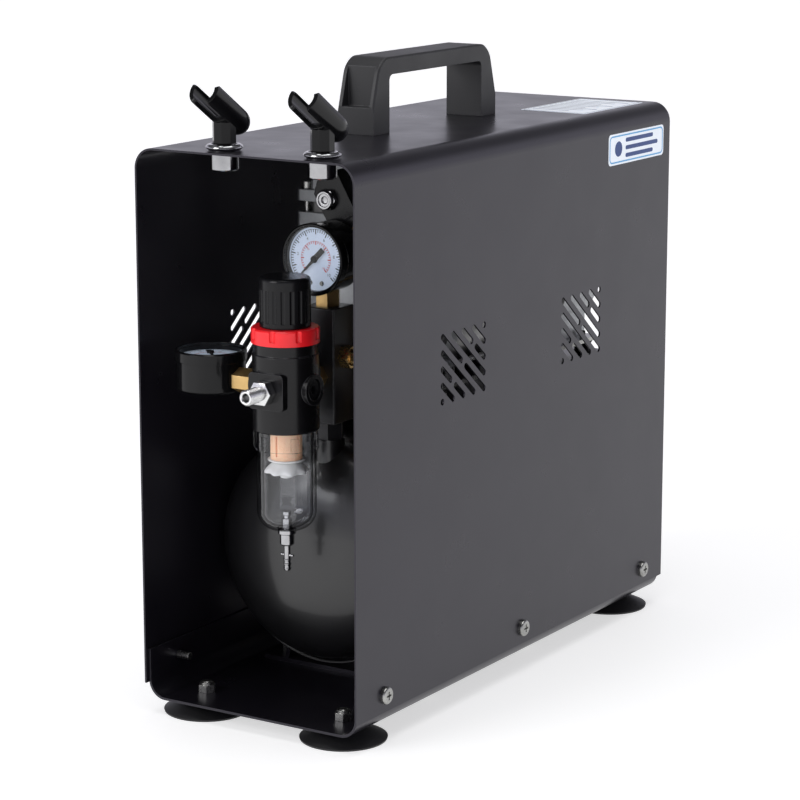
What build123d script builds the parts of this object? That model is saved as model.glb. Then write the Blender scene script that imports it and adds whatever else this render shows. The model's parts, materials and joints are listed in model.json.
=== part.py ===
"""Airbrush compressor: pump and air tank in an open-ended sheet cover, with filter, gauges and cradles.

Millimetres. X runs to the right, Y from the open front to the back, Z up.
The origin is on the floor, under the middle of the whole object.
"""

from build123d import *
from math import cos, radians, sin, sqrt
import os

# Driving dimensions
cover_width = 160
cover_length = 400
cover_top = 360
cover_bottom = 20
cover_bend = 13
cover_sheet = 1.2
tray_bottom = 10
tray_sheet = 1.5
tray_top = 42
outlet_overhang = 14.5  # the outlet nipple stands this far out of the open front
tank_radius = 73
tank_z = 102
tank_wall = 2.4
shaft_z = 240  # motor and crank axis
shaft_radius = 4
stroke = 12
bore_radius = 20
port_z = 217  # air ports of the regulator
regulator_x = 11
gauge_radius = 22.5
gauge_depth = 25.5
running_gap = 0.05  # radial, shafts in their bores
body_gap = 0.3  # between pieces that move past each other

# Stations along Y, from the cover's middle
cover_y = outlet_overhang / 2
cover_front = cover_y - cover_length / 2
cover_back = cover_y + cover_length / 2
foot_x = 52
foot_offset = 172
foot_stations = [cover_y - foot_offset, cover_y + foot_offset]
screw_z = 31
screw_stations = [cover_y - 168, cover_y, cover_y + 170]
holder_y = cover_y - 184
holder_stations = {"left": -24, "right": 47}
regulator_y = cover_y - 172
manifold_y = cover_y - 125.5
cylinder_y = cover_y - 62
handle_y = cover_y - 2
tank_front = cover_y - 117  # where the front dome meets the barrel
tank_back = cover_y + 75
dome_depth = 33
saddle_stations = [cover_y - 78, cover_y + 48]

cover_inside = cover_top - cover_sheet
wall_inside = cover_width / 2 - cover_sheet
finished = {}


def keep(name, *pieces):
    """Label a finished piece, or a group of separate solids, and note it for export."""
    node = pieces[0]
    if len(pieces) > 1:
        node = Compound([solid for piece in pieces for solid in piece.solids()])
    node.label = name
    finished[name] = node


def section(x, y, z=0):
    """Upright drawing plane through a vertical axis: local x is the radius, local y the height."""
    return Plane(origin=(x, y, z), x_dir=(1, 0, 0), z_dir=(0, -1, 0))


def upright(x, y):
    return Axis((x, y, 0), (0, 0, 1))


def lengthwise(x, y, z):
    """Drawing plane that looks along +Y: local x is +X, local y is -Z, extrusions grow to the back."""
    return Plane(origin=(x, y, z), x_dir=(1, 0, 0), z_dir=(0, 1, 0))


# ---- Sheet cover with its vents and holes ----
vent_z = 222.5
vent_half_length = 25
vent_half_height = 20.4
vent_slot_width = 4.2
vent_stations = [cover_y - 77, cover_y + 75]
vent_lines = 4


def vent_group(wall_plane, slope):
    """Diagonal slots inside a rectangle, shorter towards two of its corners."""
    reach = sqrt(vent_half_length**2 + vent_half_height**2)
    angle = slope * 39.2
    gap = 7.4
    slots = []
    for line in range(-vent_lines, vent_lines + 1):
        share = 1 - abs(line) / vent_lines
        middle = (line * vent_half_length / vent_lines, -slope * line * vent_half_height / vent_lines)
        split = line % 2 == 0 and share > 0
        length = 2 * reach * share
        if share == 0:
            slots.append((middle, 0))
        elif split:
            piece = (length - gap) / 2
            for side in (-1, 1):
                shift = side * (piece + gap) / 2
                centre = (
                    middle[0] + shift * cos(radians(angle)),
                    middle[1] + shift * sin(radians(angle)),
                )
                slots.append((centre, piece))
        else:
            slots.append((middle, length))
    with BuildSketch(wall_plane) as group:
        for station in vent_stations:
            for centre, length in slots:
                with Locations((station + centre[0], vent_z + centre[1])):
                    if length == 0:
                        Circle(vent_slot_width / 2)
                    else:
                        SlotCenterToCenter(length, vent_slot_width, rotation=angle)
    return group.sketch


right_vents = vent_group(Plane.YZ.offset(wall_inside - 1), -1)
left_vents = vent_group(Plane.YZ.offset(-cover_width / 2 - 1), 1)
screw_hole = 2.6
handle_screw_offset = 66
bushing_hole = 6.2

with BuildPart() as cover:
    with BuildSketch(Plane.XZ.offset(-cover_back)):
        with Locations((0, cover_top)):
            outer = Rectangle(cover_width, cover_top - cover_bottom, align=(Align.CENTER, Align.MAX))
        fillet(outer.vertices().group_by(Axis.Y)[-1], cover_bend)
        with BuildSketch(mode=Mode.SUBTRACT):
            with Locations((0, cover_inside)):
                inner = Rectangle(
                    2 * wall_inside, cover_inside - cover_bottom, align=(Align.CENTER, Align.MAX)
                )
            fillet(inner.vertices().group_by(Axis.Y)[-1], cover_bend - cover_sheet)
    extrude(amount=cover_length)
    extrude(right_vents, amount=cover_sheet + 2, mode=Mode.SUBTRACT)
    extrude(left_vents, amount=cover_sheet + 2, mode=Mode.SUBTRACT)
    with BuildSketch(Plane.YZ.offset(-cover_width / 2 - 1)):
        with Locations(*[(station, screw_z) for station in screw_stations]):
            Circle(screw_hole)
    extrude(amount=cover_width + 2, mode=Mode.SUBTRACT)
    with BuildSketch(Plane.XY.offset(cover_inside - 1)):
        with Locations(*[(x, holder_y) for x in holder_stations.values()]):
            Circle(bushing_hole)
        with Locations(*[(0, handle_y + side * handle_screw_offset) for side in (-1, 1)]):
            Circle(screw_hole)
    extrude(amount=cover_sheet + 2, mode=Mode.SUBTRACT)
keep("cover", cover.part)

# ---- Base tray, feet and the screws that join them ----
tray_half_width = wall_inside - body_gap
tray_length = 395
tray_back = cover_y + tray_length / 2
tray_bend = 12
tray_floor = tray_bottom + tray_sheet
stud_radius = 3
saddle_bolt_x = 52
bolt_radius = 3

with BuildPart() as base_tray:
    with BuildSketch(Plane.XZ.offset(-tray_back)):
        with Locations((0, tray_bottom)):
            outer = Rectangle(2 * tray_half_width, tray_top - tray_bottom, align=(Align.CENTER, Align.MIN))
        fillet(outer.vertices().group_by(Axis.Y)[0], tray_bend)
        with BuildSketch(mode=Mode.SUBTRACT):
            with Locations((0, tray_floor)):
                inner = Rectangle(
                    2 * (tray_half_width - tray_sheet),
                    tray_top - tray_floor,
                    align=(Align.CENTER, Align.MIN),
                )
            fillet(inner.vertices().group_by(Axis.Y)[0], tray_bend - tray_sheet)
    extrude(amount=tray_length)
    with BuildSketch(Plane.XY.offset(tray_bottom - 1)):
        with Locations(*[(x, y) for x in (-foot_x, foot_x) for y in foot_stations]):
            Circle(stud_radius + 0.2)
        with Locations(*[(x, y) for x in (-saddle_bolt_x, saddle_bolt_x) for y in saddle_stations]):
            Circle(bolt_radius + 0.2)
        with Locations((0, cover_y)):
            Circle(14)
    extrude(amount=tray_sheet + 2, mode=Mode.SUBTRACT)
    with BuildSketch(Plane.YZ.offset(-tray_half_width - 1)):
        with Locations(*[(station, screw_z) for station in screw_stations]):
            Circle(screw_hole)
    extrude(amount=2 * tray_half_width + 2, mode=Mode.SUBTRACT)
keep("base_tray", base_tray.part)

head_radius = 5.5
head_height = 3
screw_shank = 2.4
screw_length = 12
with BuildPart() as cover_screws:
    for side in (-1, 1):
        for station in screw_stations:
            outward = Plane(
                origin=(side * cover_width / 2, station, screw_z), x_dir=(0, 1, 0), z_dir=(side, 0, 0)
            )
            with BuildSketch(outward):
                Circle(head_radius)
            extrude(amount=head_height)
            fillet(cover_screws.edges(Select.LAST).group_by(Axis.X)[-1 if side > 0 else 0], 1.6)
            with BuildSketch(outward):
                Circle(screw_shank)
            extrude(amount=-screw_length)
            with BuildSketch(outward.offset(head_height - 1.4)):
                Rectangle(5.2, 1.2)
                Rectangle(1.2, 5.2)
            extrude(amount=2, mode=Mode.SUBTRACT)

cup_radius = 27.5
with BuildPart() as suction_feet:
    for x in (-foot_x, foot_x):
        for y in foot_stations:
            with BuildSketch(section(x, y)):
                with BuildLine():
                    Polyline(
                        (stud_radius, 4.2), (stud_radius, tray_bottom), (11, tray_bottom), (12.5, 7.6)
                    )
                    Spline((12.5, 7.6), (20, 4.6), (cup_radius, 1.2))
                    Line((cup_radius, 1.2), (cup_radius - 0.4, 0))
                    Line((cup_radius - 0.4, 0), (cup_radius - 4, 0))
                    Spline((cup_radius - 4, 0), (14, 2.4), (0, 3.2))
                    Polyline((0, 3.2), (0, 4.2), (stud_radius, 4.2))
                make_face()
            revolve(axis=upright(x, y))
keep("suction_feet", suction_feet.part)

with BuildPart() as foot_studs:
    with BuildSketch(Plane.XY.offset(4.2)):
        with Locations(*[(x, y) for x in (-foot_x, foot_x) for y in foot_stations]):
            Circle(stud_radius)
    extrude(amount=14.4)
    chamfer(foot_studs.edges().group_by(Axis.Z)[-1], 0.6)

nut_across = 10
with BuildPart() as foot_nuts:
    with BuildSketch(Plane.XY.offset(tray_floor)):
        with Locations(*[(x, y) for x in (-foot_x, foot_x) for y in foot_stations]):
            RegularPolygon(nut_across / 2, 6, major_radius=False)
            Circle(stud_radius + running_gap, mode=Mode.SUBTRACT)
    extrude(amount=5)
    with BuildSketch(Plane.XY.offset(tray_floor + 5)):
        with Locations(*[(x, y) for x in (-foot_x, foot_x) for y in foot_stations]):
            Circle(4.2)
            Circle(stud_radius + running_gap, mode=Mode.SUBTRACT)
    extrude(amount=1.5)

# ---- Carrying handle ----
handle_width = 27
handle_top = 408
handle_half = 75
window_half = 56.5
window_top = 397
leg_kink = 378
cheek = 3.2
pocket_depth = 8

with BuildPart() as handle:
    with BuildSketch(Plane.YZ.offset(-handle_width / 2)):
        with BuildLine():
            FilletPolyline(
                (handle_y + handle_half, leg_kink),
                (handle_y + handle_half - 8.5, handle_top),
                (handle_y - handle_half + 8.5, handle_top),
                (handle_y - handle_half, leg_kink),
                radius=14,
            )
            Polyline(
                (handle_y - handle_half, leg_kink),
                (handle_y - handle_half, cover_top),
                (handle_y + handle_half, cover_top),
                (handle_y + handle_half, leg_kink),
            )
        make_face()
        with BuildSketch(mode=Mode.SUBTRACT):
            with Locations((handle_y, cover_top)):
                window = Rectangle(
                    2 * window_half, window_top - cover_top, align=(Align.CENTER, Align.MIN)
                )
            fillet(window.vertices().group_by(Axis.Y)[-1], 4)
    extrude(amount=handle_width)
    outer_edges = handle.edges().filter_by(Axis.X, reverse=True)
    chamfer(outer_edges.filter_by(lambda edge: edge.center().Z > handle_top - 0.5), 1.2)
    for end in (-1, 1):
        pocket_y = handle_y + end * (handle_half - pocket_depth / 2 + 1)
        with Locations((0, pocket_y, leg_kink - 0.6)):
            Box(
                handle_width - 2 * cheek,
                pocket_depth + 2,
                28,
                align=(Align.CENTER, Align.CENTER, Align.MIN),
                mode=Mode.SUBTRACT,
            )
    with BuildSketch(Plane.XY.offset(cover_top)):
        with Locations(*[(0, handle_y + side * handle_screw_offset) for side in (-1, 1)]):
            Circle(screw_shank)
    extrude(amount=12, mode=Mode.SUBTRACT)
keep("handle", handle.part)

with BuildPart() as handle_screws:
    for side in (-1, 1):
        station = handle_y + side * handle_screw_offset
        with BuildSketch(Plane.XY.offset(cover_inside)):
            with Locations((0, station)):
                Circle(head_radius)
        extrude(amount=-head_height)
        with BuildSketch(Plane.XY.offset(cover_inside)):
            with Locations((0, station)):
                Circle(screw_shank - 0.02)
        extrude(amount=12)
keep("cover_screws", cover_screws.part, handle_screws.part)

# ---- Labels ----
label_thickness = 0.25
with BuildPart() as side_label:
    with BuildSketch(Plane.YZ.offset(cover_width / 2)):
        with Locations((cover_y + 150, 335.5)):
            RectangleRounded(80, 21, 3)
    extrude(amount=label_thickness)

with BuildPart() as top_label:
    with BuildSketch(Plane.XY.offset(cover_top)):
        with Locations((40, cover_y + 146)):
            RectangleRounded(50, 84, 1.5)
    extrude(amount=label_thickness)
keep("labels", side_label.part, top_label.part)

# ---- Airbrush cradles in their chromed bushings ----
bushing_flange = 11.5
bushing_top = cover_top + 4
bushing_nut_radius = 8.75
bushing_nut_height = 10
cradle_pin = 4

with BuildPart() as holder_bushings:
    for x in holder_stations.values():
        with BuildSketch(section(x, holder_y)):
            with BuildLine():
                Polyline(
                    (cradle_pin + running_gap, bushing_top - 16),
                    (6, bushing_top - 16),
                    (6, cover_top),
                    (bushing_flange - 1.8, cover_top),
                    (bushing_flange, cover_top + 1.6),
                    (bushing_flange, bushing_top - 1.2),
                    (bushing_flange - 1.4, bushing_top),
                    (cradle_pin + running_gap, bushing_top),
                    close=True,
                )
            make_face()
        revolve(axis=upright(x, holder_y))

with BuildPart() as bushing_nuts:
    for x in holder_stations.values():
        with BuildSketch(section(x, holder_y)):
            with BuildLine():
                Polyline(
                    (6.05, cover_inside),
                    (bushing_nut_radius, cover_inside),
                    (bushing_nut_radius, cover_inside - bushing_nut_height + 0.8),
                    (bushing_nut_radius - 0.8, cover_inside - bushing_nut_height),
                    (6.05, cover_inside - bushing_nut_height),
                    close=True,
                )
            make_face()
        revolve(axis=upright(x, holder_y))
keep("holder_bushings", holder_bushings.part, bushing_nuts.part)

trough_radius = 10
trough_wall = 2.4
trough_tilt = 33
trough_front = 24
trough_rear = 9
post_radius = 7
post_top = 380
trough_z = 384.5


def cradle(x):
    """Post with a tilted open trough: two long prongs in front, a closed round nose behind."""
    middle = (x, holder_y, trough_z)
    forward = (0, -cos(radians(trough_tilt)), sin(radians(trough_tilt)))
    tilted = Plane(origin=middle, x_dir=(1, 0, 0), z_dir=forward)
    upward = (0, sin(radians(trough_tilt)), cos(radians(trough_tilt)))
    above = Plane(origin=middle, x_dir=(1, 0, 0), z_dir=upward)
    with BuildPart() as piece:
        with BuildSketch(Plane.XY.offset(bushing_top + body_gap)):
            with Locations((x, holder_y)):
                RegularPolygon(post_radius, 8, major_radius=False, rotation=22.5)
        extrude(amount=post_top - bushing_top - body_gap)
        with BuildSketch(tilted.offset(-trough_rear)):
            Circle(trough_radius)
        extrude(amount=trough_front + trough_rear)
        with Locations(tilted.offset(-trough_rear).location):
            Sphere(trough_radius)
        with BuildSketch(tilted.offset(-trough_rear)):
            Circle(trough_radius - trough_wall)
        extrude(amount=trough_front + trough_rear + 1, mode=Mode.SUBTRACT)
        with Locations(tilted.offset(-trough_rear).location):
            Sphere(trough_radius - trough_wall, mode=Mode.SUBTRACT)
        with BuildSketch(above.offset(3.2)):
            Rectangle(3 * trough_radius, 6 * trough_radius)
        extrude(amount=2 * trough_radius, mode=Mode.SUBTRACT)
        with BuildSketch(above.offset(-trough_radius - 4)):
            with Locations((0, -trough_front)):
                SlotOverall(40, 11.4, rotation=90)
        extrude(amount=trough_radius + 2, mode=Mode.SUBTRACT)
        with BuildSketch(Plane.XY.offset(bushing_top - 15)):
            with Locations((x, holder_y)):
                Circle(cradle_pin)
        extrude(amount=16.5)
    return piece.part


for side, x in holder_stations.items():
    keep(f"airbrush_cradle_{side}", cradle(x))

# ---- Air tank with its ports, on two saddles ----
port_radius = 8
manifold_x = regulator_x
manifold_low = 187
manifold_high = 260
switch_pipe_x = 32
switch_pipe_y = cover_y - 107.5
inlet_x = 52
inlet_y = cover_y - 62


with BuildPart() as tank:
    with BuildSketch(Plane.YZ):
        with BuildLine():
            Line((tank_front, tank_z + tank_radius), (tank_back, tank_z + tank_radius))
            EllipticalCenterArc(
                (tank_back, tank_z), dome_depth, tank_radius, start_angle=0, arc_size=90
            )
            Line((tank_back + dome_depth, tank_z), (tank_front - dome_depth, tank_z))
            EllipticalCenterArc(
                (tank_front, tank_z), dome_depth, tank_radius, start_angle=90, arc_size=90
            )
        make_face()
    revolve(axis=Axis((0, 0, tank_z), (0, 1, 0)))
    with BuildSketch(Plane.XY.offset(tank_z)):
        with Locations((manifold_x, manifold_y)):
            Circle(10)
    extrude(amount=176 - tank_z)
    with BuildSketch(Plane.XY.offset(tank_z)):
        with Locations((switch_pipe_x, switch_pipe_y), (inlet_x, inlet_y)):
            Circle(port_radius)
    extrude(amount=72)
    with BuildSketch(Plane.XY.offset(tank_z)):
        with Locations((0, cover_y)):
            Circle(port_radius)
    extrude(amount=-(tank_radius + 3))
    with BuildSketch(Plane.YZ):
        with BuildLine():
            Line(
                (tank_front, tank_z + tank_radius - tank_wall), (tank_back, tank_z + tank_radius - tank_wall)
            )
            EllipticalCenterArc(
                (tank_back, tank_z),
                dome_depth - tank_wall,
                tank_radius - tank_wall,
                start_angle=0,
                arc_size=90,
            )
            Line(
                (tank_back + dome_depth - tank_wall, tank_z), (tank_front - dome_depth + tank_wall, tank_z)
            )
            EllipticalCenterArc(
                (tank_front, tank_z),
                dome_depth - tank_wall,
                tank_radius - tank_wall,
                start_angle=90,
                arc_size=90,
            )
        make_face()
    revolve(axis=Axis((0, 0, tank_z), (0, 1, 0)), mode=Mode.SUBTRACT)
    with BuildSketch(Plane.XY.offset(tank_z)):
        with Locations((manifold_x, manifold_y)):
            Circle(6.05)
        with Locations((switch_pipe_x, switch_pipe_y), (inlet_x, inlet_y)):
            Circle(4.05)
    extrude(amount=90, mode=Mode.SUBTRACT)
    with BuildSketch(Plane.XY.offset(tank_z)):
        with Locations((0, cover_y)):
            Circle(4.05)
    extrude(amount=-90, mode=Mode.SUBTRACT)
keep("tank", tank.part)

saddle_length = 32
saddle_sheet = 2.5
with BuildPart() as tank_saddles:
    for station in saddle_stations:
        with BuildSketch(lengthwise(0, station - saddle_length / 2, 0)):
            with BuildLine():
                Polyline(
                    (-62, -tray_floor),
                    (62, -tray_floor),
                    (62, -tray_floor - saddle_sheet),
                    (46, -tray_floor - saddle_sheet),
                    (38, -44),
                    (35, -44),
                    (43, -tray_floor - saddle_sheet),
                    (-43, -tray_floor - saddle_sheet),
                    (-35, -44),
                    (-38, -44),
                    (-46, -tray_floor - saddle_sheet),
                    (-62, -tray_floor - saddle_sheet),
                    close=True,
                )
            make_face()
            with Locations((0, -tank_z)):
                Circle(tank_radius + 0.02, mode=Mode.SUBTRACT)
        extrude(amount=saddle_length)
        with BuildSketch(Plane.XY.offset(tray_floor - 1)):
            with Locations((-saddle_bolt_x, station), (saddle_bolt_x, station)):
                Circle(bolt_radius + 0.2)
        extrude(amount=saddle_sheet + 2, mode=Mode.SUBTRACT)

with BuildPart() as saddle_bolts:
    for station in saddle_stations:
        for x in (-saddle_bolt_x, saddle_bolt_x):
            with BuildSketch(Plane.XY.offset(tray_bottom)):
                with Locations((x, station)):
                    Circle(5.5)
            extrude(amount=-3)
            with BuildSketch(Plane.XY.offset(tray_bottom)):
                with Locations((x, station)):
                    Circle(bolt_radius)
            extrude(amount=14)

with BuildPart() as saddle_nuts:
    with BuildSketch(Plane.XY.offset(tray_floor + saddle_sheet)):
        with Locations(*[(x, y) for x in (-saddle_bolt_x, saddle_bolt_x) for y in saddle_stations]):
            RegularPolygon(nut_across / 2, 6, major_radius=False)
            Circle(bolt_radius + running_gap, mode=Mode.SUBTRACT)
    extrude(amount=5)
keep("tray_fasteners", foot_studs.part, foot_nuts.part, saddle_bolts.part, saddle_nuts.part)

drain_face = tank_z - tank_radius - 3
with BuildPart() as tank_drain_screw:
    with BuildSketch(Plane.XY.offset(drain_face - body_gap)):
        with Locations((0, cover_y)):
            Circle(9)
            with PolarLocations(9, 12):
                Circle(0.9, mode=Mode.SUBTRACT)
    extrude(amount=-8)
    with BuildSketch(Plane.XY.offset(drain_face - body_gap)):
        with Locations((0, cover_y)):
            Circle(4)
    extrude(amount=9)
keep("tank_drain_screw", tank_drain_screw.part)

# ---- Pump: plate, mounts, crankcase, cylinder and head ----
plate_top = 185.5
plate_sheet = 2.5
plate_half = 42
plate_front = cover_y - 92
plate_length = 268
mount_height = 8
mount_x = 35
mount_stations = [cover_y - 76, cover_y + 160]
pump_middle = cover_y + 42  # the second pump is the first one's mirror image about this plane
middle_plane = Plane.XZ.offset(-pump_middle)
base_low = plate_top + mount_height
base_high = base_low + 3

with BuildPart() as pump_plate:
    with BuildSketch(lengthwise(0, plate_front, 0)):
        with BuildLine():
            Polyline(
                (-plate_half, -160),
                (-plate_half, -plate_top),
                (plate_half, -plate_top),
                (plate_half, -160),
                (plate_half - plate_sheet, -160),
                (plate_half - plate_sheet, -plate_top + plate_sheet),
                (-plate_half + plate_sheet, -plate_top + plate_sheet),
                (-plate_half + plate_sheet, -160),
                close=True,
            )
        make_face()
        with Locations((0, -tank_z)):
            Circle(tank_radius + 0.02, mode=Mode.SUBTRACT)
    extrude(amount=plate_length)
    with BuildSketch(Plane.XY.offset(plate_top + 1)):
        with Locations(*[(x, y) for x in (-mount_x, mount_x) for y in mount_stations]):
            Circle(2.2)
    extrude(amount=-plate_sheet - 2, mode=Mode.SUBTRACT)
keep("tank_brackets", tank_saddles.part, pump_plate.part)

with BuildPart() as pump_mounts:
    for x in (-mount_x, mount_x):
        for y in mount_stations:
            with BuildSketch(section(x, y)):
                with BuildLine():
                    Line((0, plate_top), (7, plate_top))
                    ThreePointArc((7, plate_top), (5.6, plate_top + mount_height / 2), (7, base_low))
                    Polyline((7, base_low), (0, base_low), (0, plate_top))
                make_face()
            revolve(axis=upright(x, y))
            with BuildSketch(Plane.XY.offset(plate_top - plate_sheet - 3)):
                with Locations((x, y)):
                    Circle(2)
            extrude(amount=plate_sheet + 3 + mount_height + 7)
keep("pump_mounts", pump_mounts.part)

with BuildPart() as pump_base:
    with BuildSketch(Plane.XY.offset(base_low)):
        with Locations((0, pump_middle)):
            RectangleRounded(82, 260, 5)
        with Locations(*[(x, y) for x in (-mount_x, mount_x) for y in mount_stations]):
            Circle(2.2, mode=Mode.SUBTRACT)
    extrude(amount=base_high - base_low)

case_front = cover_y - 86
case_back = cover_y - 38
case_radius = 40
case_wall = 5
deck_z = shaft_z + 41
bearing_radius = 11
bearing_width = 7
with BuildPart() as crankcase:
    with BuildSketch(lengthwise(0, case_front, shaft_z)):
        Circle(case_radius)
    extrude(amount=case_back - case_front)
    with Locations((0, (case_front + case_back) / 2, base_high)):
        Box(62, case_back - case_front, 30, align=(Align.CENTER, Align.CENTER, Align.MIN))
    with Locations((0, cylinder_y, deck_z)):
        Box(62, 48, 30, align=(Align.CENTER, Align.CENTER, Align.MAX))
    with BuildSketch(lengthwise(0, case_front, shaft_z)):
        Circle(case_radius - case_wall)
    extrude(amount=case_back - case_front - 8, mode=Mode.SUBTRACT)
    with BuildSketch(lengthwise(0, case_back, shaft_z)):
        Circle(bearing_radius)
    extrude(amount=-9, mode=Mode.SUBTRACT)
    with BuildSketch(Plane.XY.offset(shaft_z)):
        with Locations((0, cylinder_y)):
            Circle(bore_radius + 2)
    extrude(amount=60, mode=Mode.SUBTRACT)
keep("crankcases", crankcase.part, crankcase.part.mirror(middle_plane))

cover_screw_circle = 36
with BuildPart() as crankcase_cover:
    with BuildSketch(lengthwise(0, case_front - 4, shaft_z)):
        Circle(case_radius)
    extrude(amount=4)
    with BuildSketch(lengthwise(0, case_front - 4, shaft_z)):
        with PolarLocations(cover_screw_circle, 6):
            Circle(3)
    extrude(amount=-2)
    chamfer(crankcase_cover.edges().group_by(Axis.Y)[0], 0.5)
keep("crankcase_covers", crankcase_cover.part, crankcase_cover.part.mirror(middle_plane))

sleeve_top = 310
block_low = 292
block_width = 78
block_depth = 50
bolt_low = 296
bolt_grid = (68, 38)
fin_pitch = 3.6
with BuildPart() as cylinder:
    with BuildSketch(Plane.XY.offset(deck_z)):
        with Locations((0, cylinder_y)):
            Circle(bore_radius + 4)
    extrude(amount=sleeve_top - deck_z)
    with BuildSketch(Plane.XY.offset(deck_z)):
        with Locations((0, cylinder_y)):
            RectangleRounded(60, 48, 4)
    extrude(amount=2.4)
    for fin in range(1, 3):
        with BuildSketch(Plane.XY.offset(deck_z + fin * fin_pitch)):
            with Locations((0, cylinder_y)):
                RectangleRounded(60, 48, 4)
        extrude(amount=1.6)
    with BuildSketch(Plane.XY.offset(block_low)):
        with Locations((0, cylinder_y)):
            RectangleRounded(block_width, block_depth, 3)
    extrude(amount=sleeve_top - block_low)
    with BuildSketch(Plane.XY.offset(deck_z - 1)):
        with Locations((0, cylinder_y)):
            Circle(bore_radius)
    extrude(amount=40, mode=Mode.SUBTRACT)
    with BuildSketch(Plane.XY.offset(bolt_low)):
        with Locations((0, cylinder_y)):
            with GridLocations(*bolt_grid, 2, 2):
                Circle(2.3)
    extrude(amount=20, mode=Mode.SUBTRACT)
keep("cylinders", cylinder.part, cylinder.part.mirror(middle_plane))

valve_plate_height = 7
head_low = sleeve_top + valve_plate_height
flange_top = head_low + 7.5
head_high = 346
with BuildPart() as valve_plate:
    with BuildSketch(Plane.XY.offset(sleeve_top)):
        with Locations((0, cylinder_y)):
            RectangleRounded(58, 46, 3)
        with Locations((-7, cylinder_y), (7, cylinder_y)):
            Circle(3, mode=Mode.SUBTRACT)
    extrude(amount=valve_plate_height)
keep("valve_plates", valve_plate.part, valve_plate.part.mirror(middle_plane))

delivery_z = head_low + 3.75
filter_z = 335
filter_x = -14
with BuildPart() as cylinder_head:
    with BuildSketch(Plane.XY.offset(head_low)):
        with Locations((0, cylinder_y)):
            RectangleRounded(block_width, block_depth, 3)
    extrude(amount=flange_top - head_low)
    with BuildSketch(Plane.XY.offset(flange_top)):
        with Locations((0, cylinder_y)):
            RectangleRounded(60, 46, 3)
    extrude(amount=head_high - flange_top)
    for groove in range(4):
        with Locations((0, cylinder_y - 13.5 + groove * 9, head_high)):
            Box(70, 3.6, 8, align=(Align.CENTER, Align.CENTER, Align.MAX), mode=Mode.SUBTRACT)
    for x in (-15, 15):
        with Locations((x, cylinder_y, head_low)):
            Box(18, 26, 9, align=(Align.CENTER, Align.CENTER, Align.MIN), mode=Mode.SUBTRACT)
    with BuildSketch(Plane.YZ.offset(15)):
        with Locations((cylinder_y, delivery_z)):
            Circle(3)
    extrude(amount=30, mode=Mode.SUBTRACT)
    with BuildSketch(Plane.XY.offset(head_low - 1)):
        with Locations((0, cylinder_y)):
            with GridLocations(*bolt_grid, 2, 2):
                Circle(2.3)
    extrude(amount=20, mode=Mode.SUBTRACT)
keep("cylinder_heads", cylinder_head.part, cylinder_head.part.mirror(middle_plane))

bolt_cap = 4.5
with BuildPart() as head_bolts:
    with BuildSketch(Plane.XY.offset(bolt_low)):
        with Locations((0, cylinder_y)):
            with GridLocations(*bolt_grid, 2, 2):
                Circle(2.2)
    extrude(amount=flange_top - bolt_low)
    with BuildSketch(Plane.XY.offset(flange_top)):
        with Locations((0, cylinder_y)):
            with GridLocations(*bolt_grid, 2, 2):
                Circle(3.6)
    extrude(amount=bolt_cap)
    with BuildSketch(Plane.XY.offset(flange_top + bolt_cap)):
        with Locations((0, cylinder_y)):
            with GridLocations(*bolt_grid, 2, 2):
                RegularPolygon(2, 6)
    extrude(amount=-2.5, mode=Mode.SUBTRACT)

head_rear = cylinder_y + 23
with BuildPart() as intake_filter:
    with BuildSketch(lengthwise(filter_x, head_rear, filter_z)):
        Circle(5)
    extrude(amount=6)
    with BuildSketch(lengthwise(filter_x, head_rear + 6, filter_z)):
        Circle(11)
    extrude(amount=14)
    chamfer(intake_filter.edges().group_by(Axis.Y)[-1], 1.5)
keep("intake_filters", intake_filter.part, intake_filter.part.mirror(middle_plane))

# ---- Crank, rod and piston ----
crank_throw = stroke / 2
crank_front = cover_y - 56
crank_thickness = 6
pin_radius = 4
big_end_low = cylinder_y - 3.5
big_end_high = cylinder_y + 3.5
with BuildPart() as crank:
    with BuildSketch(lengthwise(0, crank_front, shaft_z)):
        Circle(15)
        with Locations((0, 6)):
            Rectangle(36, 22)
        Circle(shaft_radius + 0.02, mode=Mode.SUBTRACT)
    extrude(amount=crank_thickness)
    with BuildSketch(lengthwise(0, crank_front, shaft_z + crank_throw)):
        Circle(pin_radius)
    extrude(amount=-(crank_front - big_end_high - 0.5))
# The second crank stands half a turn behind the first
shaft_axis = Axis((0, pump_middle, shaft_z), (0, 1, 0))
keep("cranks", crank.part, crank.part.mirror(middle_plane).rotate(shaft_axis, 180))

piston_top = sleeve_top - 0.5
with BuildPart() as piston_rod:
    with BuildSketch(lengthwise(0, big_end_low, shaft_z + crank_throw)):
        Circle(9)
        with Locations((0, -5)):
            Rectangle(9, piston_top - 12 - shaft_z, align=(Align.CENTER, Align.MAX))
        Circle(pin_radius + running_gap, mode=Mode.SUBTRACT)
    extrude(amount=big_end_high - big_end_low)
    with BuildSketch(Plane.XY.offset(piston_top)):
        with Locations((0, cylinder_y)):
            Circle(bore_radius - 1.2)
    extrude(amount=-8)
    with BuildSketch(Plane.XY.offset(piston_top - 2.4)):
        with Locations((0, cylinder_y)):
            Circle(bore_radius)
            Circle(bore_radius - 3, mode=Mode.SUBTRACT)
    extrude(amount=-3, mode=Mode.SUBTRACT)

with BuildPart() as piston_ring:
    with BuildSketch(Plane.XY.offset(piston_top - 2.5)):
        with Locations((0, cylinder_y)):
            Circle(bore_radius - running_gap)
            Circle(bore_radius - 2.9, mode=Mode.SUBTRACT)
    extrude(amount=-2.8)
keep("front_piston_rod", piston_rod.part, piston_ring.part)
at_the_bottom = Location((0, 0, -stroke))
keep(
    "rear_piston_rod",
    piston_rod.part.mirror(middle_plane).moved(at_the_bottom),
    piston_ring.part.mirror(middle_plane).moved(at_the_bottom),
)

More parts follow.
